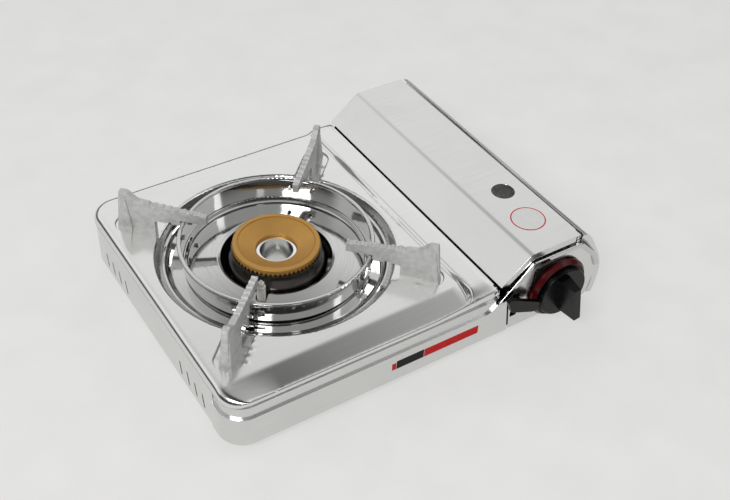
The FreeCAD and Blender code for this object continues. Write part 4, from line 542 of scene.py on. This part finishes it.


# ---- lid
# Folded from 0.8 mm stainless, with its ends turned down, its right edge curled round the
# hinge pins and a punched sight hole. It swings up and over to the right.

# the plate's polish, a little darker and rougher
lid_steel = sheet_metal("polished_lid_stainless", "#DCDCDB", 0.2, wave=0.12, spread=0.03)
lid = dress("lid", lid_steel, edge=0.3)


# ---- reflector bowl, trivet ring, saddles, rivets and trim
# Spun or drawn from thin steel, plated and buffed. The bowl lies loose in the plate's sink,
# the saddles are riveted to the trivet's ring, and the trim is clipped round the panel.
def spun_metal(name, colour, roughness, ring=0.8, scratch=0.1, spread=0.02, node="reflector_bowl",
               metal=1.0, bore=0.0):
    """Turned metal: rings and short scratches that run round a node's upright axis.

    Ring is their spacing in millimetres, over clouds of 20 mm in the shine and waves of 33 mm.
    Inside the radius bore the colour is a near-white painted light, for the light seen through the
    hole.
    """
    material, tree, spot = new_material(name)
    low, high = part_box(node)
    centre = [(a + b) / 2 / MM for a, b in zip(low, high)]
    local = add(tree, "ShaderNodeMapping", Vector=spot,
                Location=(-centre[0], -centre[1], 0)).outputs[0]
    split = add(tree, "ShaderNodeSeparateXYZ", Vector=local).outputs
    turn = add(tree, "ShaderNodeMath", {"operation": "ARCTAN2"}, _0=split["Y"], _1=split["X"])
    level = add(tree, "ShaderNodeCombineXYZ", X=split["X"], Y=split["Y"]).outputs[0]
    out = add(tree, "ShaderNodeVectorMath", {"operation": "LENGTH"}, _0=level).outputs["Value"]
    polar = add(tree, "ShaderNodeCombineXYZ", X=out, Y=turn.outputs[0], Z=split["Z"]).outputs[0]
    along = add(tree, "ShaderNodeMapping", Vector=polar, Scale=(1 / ring, 2.5, 1 / ring)).outputs[0]
    rings = add(tree, "ShaderNodeTexNoise", Vector=along, Scale=1.0, Detail=3).outputs["Fac"]
    cloud = add(tree, "ShaderNodeTexNoise", Vector=spot, Scale=0.05, Detail=2).outputs["Fac"]
    rough = add(tree, "ShaderNodeMapRange", Value=cloud, From_Min=0.3, From_Max=0.7,
                To_Min=max(roughness - spread, 0.02), To_Max=roughness + spread).outputs["Result"]
    relief = add(tree, "ShaderNodeBump", Strength=scratch, Distance=0.05 * MM,
                 Height=rings).outputs[0]
    broad = add(tree, "ShaderNodeTexNoise", Vector=spot, Scale=0.03, Detail=1).outputs["Fac"]
    relief = add(tree, "ShaderNodeBump", Distance=0.03 * MM, Height=broad, Normal=relief).outputs[0]
    shade = add(tree, "ShaderNodeValToRGB", Fac=rings, stops=[(0.3, 0.65), (0.6, 1.0)])
    tone = add(tree, "ShaderNodeMix", {"data_type": "RGBA", "blend_type": "MULTIPLY"}, Factor=0.25,
               A=linear(colour), B=shade.outputs["Color"]).outputs["Result"]
    # painted light: inside the bore the colour is near-white, for the light seen through the
    # burner's hole
    beyond_painted_light = add(tree, "ShaderNodeMath", {"operation": "GREATER_THAN"}, _0=out, _1=bore).outputs[0]
    tone = add(tree, "ShaderNodeMix", {"data_type": "RGBA"}, Factor=beyond_painted_light, A=linear("#F0F0EE"),
               B=tone).outputs["Result"]
    shader = add(tree, "ShaderNodeBsdfPrincipled", Base_Color=tone, Metallic=metal, Roughness=rough,
                 Normal=relief)
    add(tree, "ShaderNodeOutputMaterial", Surface=shader.outputs[0])
    return material


# buffed nickel plate: nearly a mirror, with faint rings from the lathe
mirror = spun_metal("buffed_spun_steel", "#CECECD", 0.08)
for node in ("reflector_bowl", "trivet_ring", "arm_brackets", "arm_rivets", "chrome_trim"):
    dress(node, mirror, angle=40)


# ---- burner
# A ring chamber pressed from steel, with a toothed brass cap turned on a lathe that lies in
# its seat. The chamber stands on the burner's stand inside the bowl.

# dark polished steel with a near-white painted light inside the bore, for the light seen through
# the hole, and brass dulled by the flame
dark = spun_metal("heat_darkened_steel", "#5A5754", 0.16, spread=0.05, node="burner_body", bore=18)
brass = spun_metal("turned_brass", "#CF9F55", 0.5, ring=0.5, scratch=0.4, spread=0.06,
                   node="burner_cap", metal=0.55)
dress("burner_body", dark, angle=40)
dress("burner_cap", brass, angle=40)


# ---- inner parts
# Brackets, rails and shield folded from zinc-coated sheet, a die-cast zinc regulator, brass
# fittings and a bent copper tube. They are screwed, riveted and clipped inside the casing.
def zinc_coat(name, colour, roughness, spangle=6.0):
    """Zinc: dull crystals, spangle millimetres across, and a grain of 0.4 mm."""
    material, tree, spot = new_material(name)
    cells = add(tree, "ShaderNodeTexVoronoi", Vector=spot, Scale=1 / spangle)
    shade = add(tree, "ShaderNodeValToRGB", Fac=cells.outputs["Color"],
                stops=[(0.0, 0.72), (1.0, 1.0)])
    tone = add(tree, "ShaderNodeMix", {"data_type": "RGBA", "blend_type": "MULTIPLY"}, Factor=0.5,
               A=linear(colour), B=shade.outputs["Color"]).outputs["Result"]
    grain = add(tree, "ShaderNodeTexNoise", Vector=spot, Scale=2.5, Detail=2).outputs["Fac"]
    rough = add(tree, "ShaderNodeMapRange", Value=grain, To_Min=roughness - 0.08,
                To_Max=roughness + 0.08)
    relief = add(tree, "ShaderNodeBump", Strength=0.2, Distance=0.03 * MM, Height=grain).outputs[0]
    shader = add(tree, "ShaderNodeBsdfPrincipled", Base_Color=tone, Metallic=1.0,
                 Roughness=rough.outputs["Result"], Normal=relief)
    add(tree, "ShaderNodeOutputMaterial", Surface=shader.outputs[0])
    return material


# galvanised sheet: dull grey with a faint spangle
galvanised = zinc_coat("galvanised_sheet", "#A9ABAC", 0.42)
for node in ("mixing_tube", "burner_stand", "electrode_bracket", "heat_shield", "lever_bracket",
             "lever_pin", "carriage", "carriage_guides", "cartridge_cradle", "regulator_bracket",
             "nozzle_bracket", "case_screws", "hinge_pins"):
    dress(node, galvanised)
# die-cast zinc: the same grey, duller and finer in grain
cast_zinc = zinc_coat("die_cast_zinc", "#B4B5B6", 0.5, spangle=1.5)
for node in ("regulator", "regulator_cap"):
    dress(node, cast_zinc)
# drawn brass and annealed copper: satin, marked along their length
fitting_brass = sheet_metal("drawn_brass", "#C9A55F", 0.3, rolled=(1.0, 0.05, 1.0), wave=0.0)
for node in ("nozzle", "valve_stem"):
    dress(node, fitting_brass)
copper = sheet_metal("annealed_copper_tube", "#C27B55", 0.35, rolled=(0.1, 0.1, 0.1), wave=0.0)
dress("gas_tube", copper)


# ---- trivet arms
# Four serrated arms of cast iron with a matt nickel-grey coat. Each sits in a saddle on the
# trivet's ring, held by two rivets, and its foot stands in a sink of the plate.
def sandy(name, colour, roughness, grain, metal=0.0, depth=0.05, shades=(0.85, 1.0), specular=0.5):
    """A cast or moulded skin: grain of a size in millimetres over softer lumps 4 mm across."""
    material, tree, spot = new_material(name)
    fine = add(tree, "ShaderNodeTexNoise", Vector=spot, Scale=1 / grain, Detail=2).outputs["Fac"]
    lumps = add(tree, "ShaderNodeTexNoise", Vector=spot, Scale=1 / 4, Detail=2).outputs["Fac"]
    relief = add(tree, "ShaderNodeBump", Strength=0.5, Distance=depth * MM, Height=fine).outputs[0]
    relief = add(tree, "ShaderNodeBump", Strength=0.4, Distance=depth * 2 * MM, Height=lumps,
                 Normal=relief)
    shade = add(tree, "ShaderNodeValToRGB", Fac=lumps, stops=[(0.35, shades[0]), (0.65, shades[1])])
    tone = add(tree, "ShaderNodeMix", {"data_type": "RGBA", "blend_type": "MULTIPLY"}, Factor=1.0,
               A=linear(colour), B=shade.outputs["Color"]).outputs["Result"]
    rough = add(tree, "ShaderNodeMapRange", Value=lumps, From_Min=0.3, From_Max=0.7,
                To_Min=roughness - 0.06, To_Max=roughness + 0.06).outputs["Result"]
    shader = add(tree, "ShaderNodeBsdfPrincipled", Base_Color=tone, Metallic=metal, Roughness=rough,
                 Specular_IOR_Level=specular, Normal=relief.outputs[0])
    add(tree, "ShaderNodeOutputMaterial", Surface=shader.outputs[0])
    return material


# coated cast iron: pale, matt and sandy, drawn a little coarser than it is so that it shows
cast = sandy("coated_cast_iron", "#DADAD8", 0.5, 0.7, metal=0.25, depth=0.2, shades=(0.8, 1.0))
for number in range(1, 5):
    dress("trivet_arm_%d" % number, cast, edge=0.5)


# ---- controls and small parts
# Moulded ABS dial, knob, lever and igniter, rubber feet, a glazed ceramic electrode and its
# silicone-sleeved wire. The knob is pushed on its stem, and the feet are pressed into holes.

# black ABS from a spark-eroded mould: nearly glossy, with a grain too fine to see singly
black = sandy("moulded_black_abs", "#070707", 0.28, 0.3, depth=0.01, specular=0.2)
for node in ("dial_bezel", "dial_plate", "knob", "piezo_igniter"):
    dress(node, black, edge=0.4)
dress("lock_lever", black, edge=1.0)
# rubber is duller than the plastics, and glazed ceramic and silicone are pale and smooth
rubber = sandy("black_rubber", "#161616", 0.7, 0.5, depth=0.02, specular=0.3)
red_abs = sandy("dark_red_abs", "#4E080C", 0.25, 0.3, depth=0.01, specular=0.2)
ceramic = sandy("glazed_ceramic", "#EFEDE6", 0.16, 2.0, depth=0.01)
silicone = sandy("silicone_sleeve", "#D8D4C8", 0.5, 0.4, depth=0.01)
dress("feet", rubber, edge=0.4)
dress("dial_ring", red_abs)
dress("electrode", ceramic)
dress("ignition_wire", silicone)


# ---- labels
# Thin vinyl without words: a red and black strip on the front panel, and a round white one
# with a red rim on the lid. They are stuck on flat.
red_vinyl = sandy("red_vinyl", "#D40F0F", 0.4, 1.0, depth=0.005, shades=(0.93, 1.0), specular=0.15)
black_vinyl = sandy("black_vinyl", "#0A0A0A", 0.4, 1.0, depth=0.005, specular=0.15)
white_vinyl = sandy("white_vinyl", "#EDEDEB", 0.4, 1.0, depth=0.005, shades=(0.96, 1.0))
LABEL_ROOT = 0.06          # how far a label reaches into the steel, mm
LABEL_LIFT = 0.06          # how far it stands proud
DISC_AT, DISC_SIDES = (286.8, 36.7), 72
STRIP_LABELS = (("label_red_end", red_vinyl, "red_plastic", (136.5, 140.2), (11.6, 18.4)),
                ("label_black", black_vinyl, "black_plastic", (140.6, 165.6), (11.4, 19.8)),
                ("label_red_bar", red_vinyl, "red_plastic", (166.0, 217.2), (11.4, 19.6)))
DISC_LABELS = (("lid_disc_rim", red_vinyl, "red_plastic", 14.3, 0.05),
               ("lid_disc", white_vinyl, "ceramic", 13.3, 0.09))


def label(name, corners, normal, material, node, lift=LABEL_LIFT):
    """A thin flat piece stuck on a node: its corners lie on the surface, in metres."""
    shape = bmesh.new()
    face = shape.faces.new([shape.verts.new(c + normal * lift * MM) for c in corners])
    face.normal_update()
    if face.normal.dot(normal) < 0:
        face.normal_flip()
    thick = bmesh.ops.extrude_face_region(shape, geom=[face])["geom"]
    for vert in [g for g in thick if isinstance(g, bmesh.types.BMVert)]:
        vert.co -= normal * (lift + LABEL_ROOT) * MM
    bmesh.ops.recalc_face_normals(shape, faces=shape.faces)
    piece = new_piece(name, shape, material)
    ride_with(piece, node)


for name, vinyl, slot, (x0, x1), (z0, z1) in STRIP_LABELS:
    corners = [Vector(at(x, 0, z)) for x, z in ((x0, z0), (x1, z0), (x1, z1), (x0, z1))]
    label(name, corners, Vector((0, -1, 0)), vinyl, "front_panel")
above = Vector(at(*DISC_AT, 0))
above.z = 0.2
_, disc_place, disc_up, _ = lid.ray_cast(above, Vector((0, 0, -1)))
lengthways = Vector((0, 1, 0))
sideways = lengthways.cross(disc_up).normalized()
for name, vinyl, slot, radius, lift in DISC_LABELS:
    turns = [2 * math.pi * i / DISC_SIDES for i in range(DISC_SIDES)]
    corners = [disc_place + (sideways * math.cos(t) + lengthways * math.sin(t)) * radius * MM
               for t in turns]
    label(name, corners, disc_up, vinyl, "lid", lift)


# ---- colour view
# Colours are shown as written.
bpy.context.scene.view_settings.view_transform = "Standard"
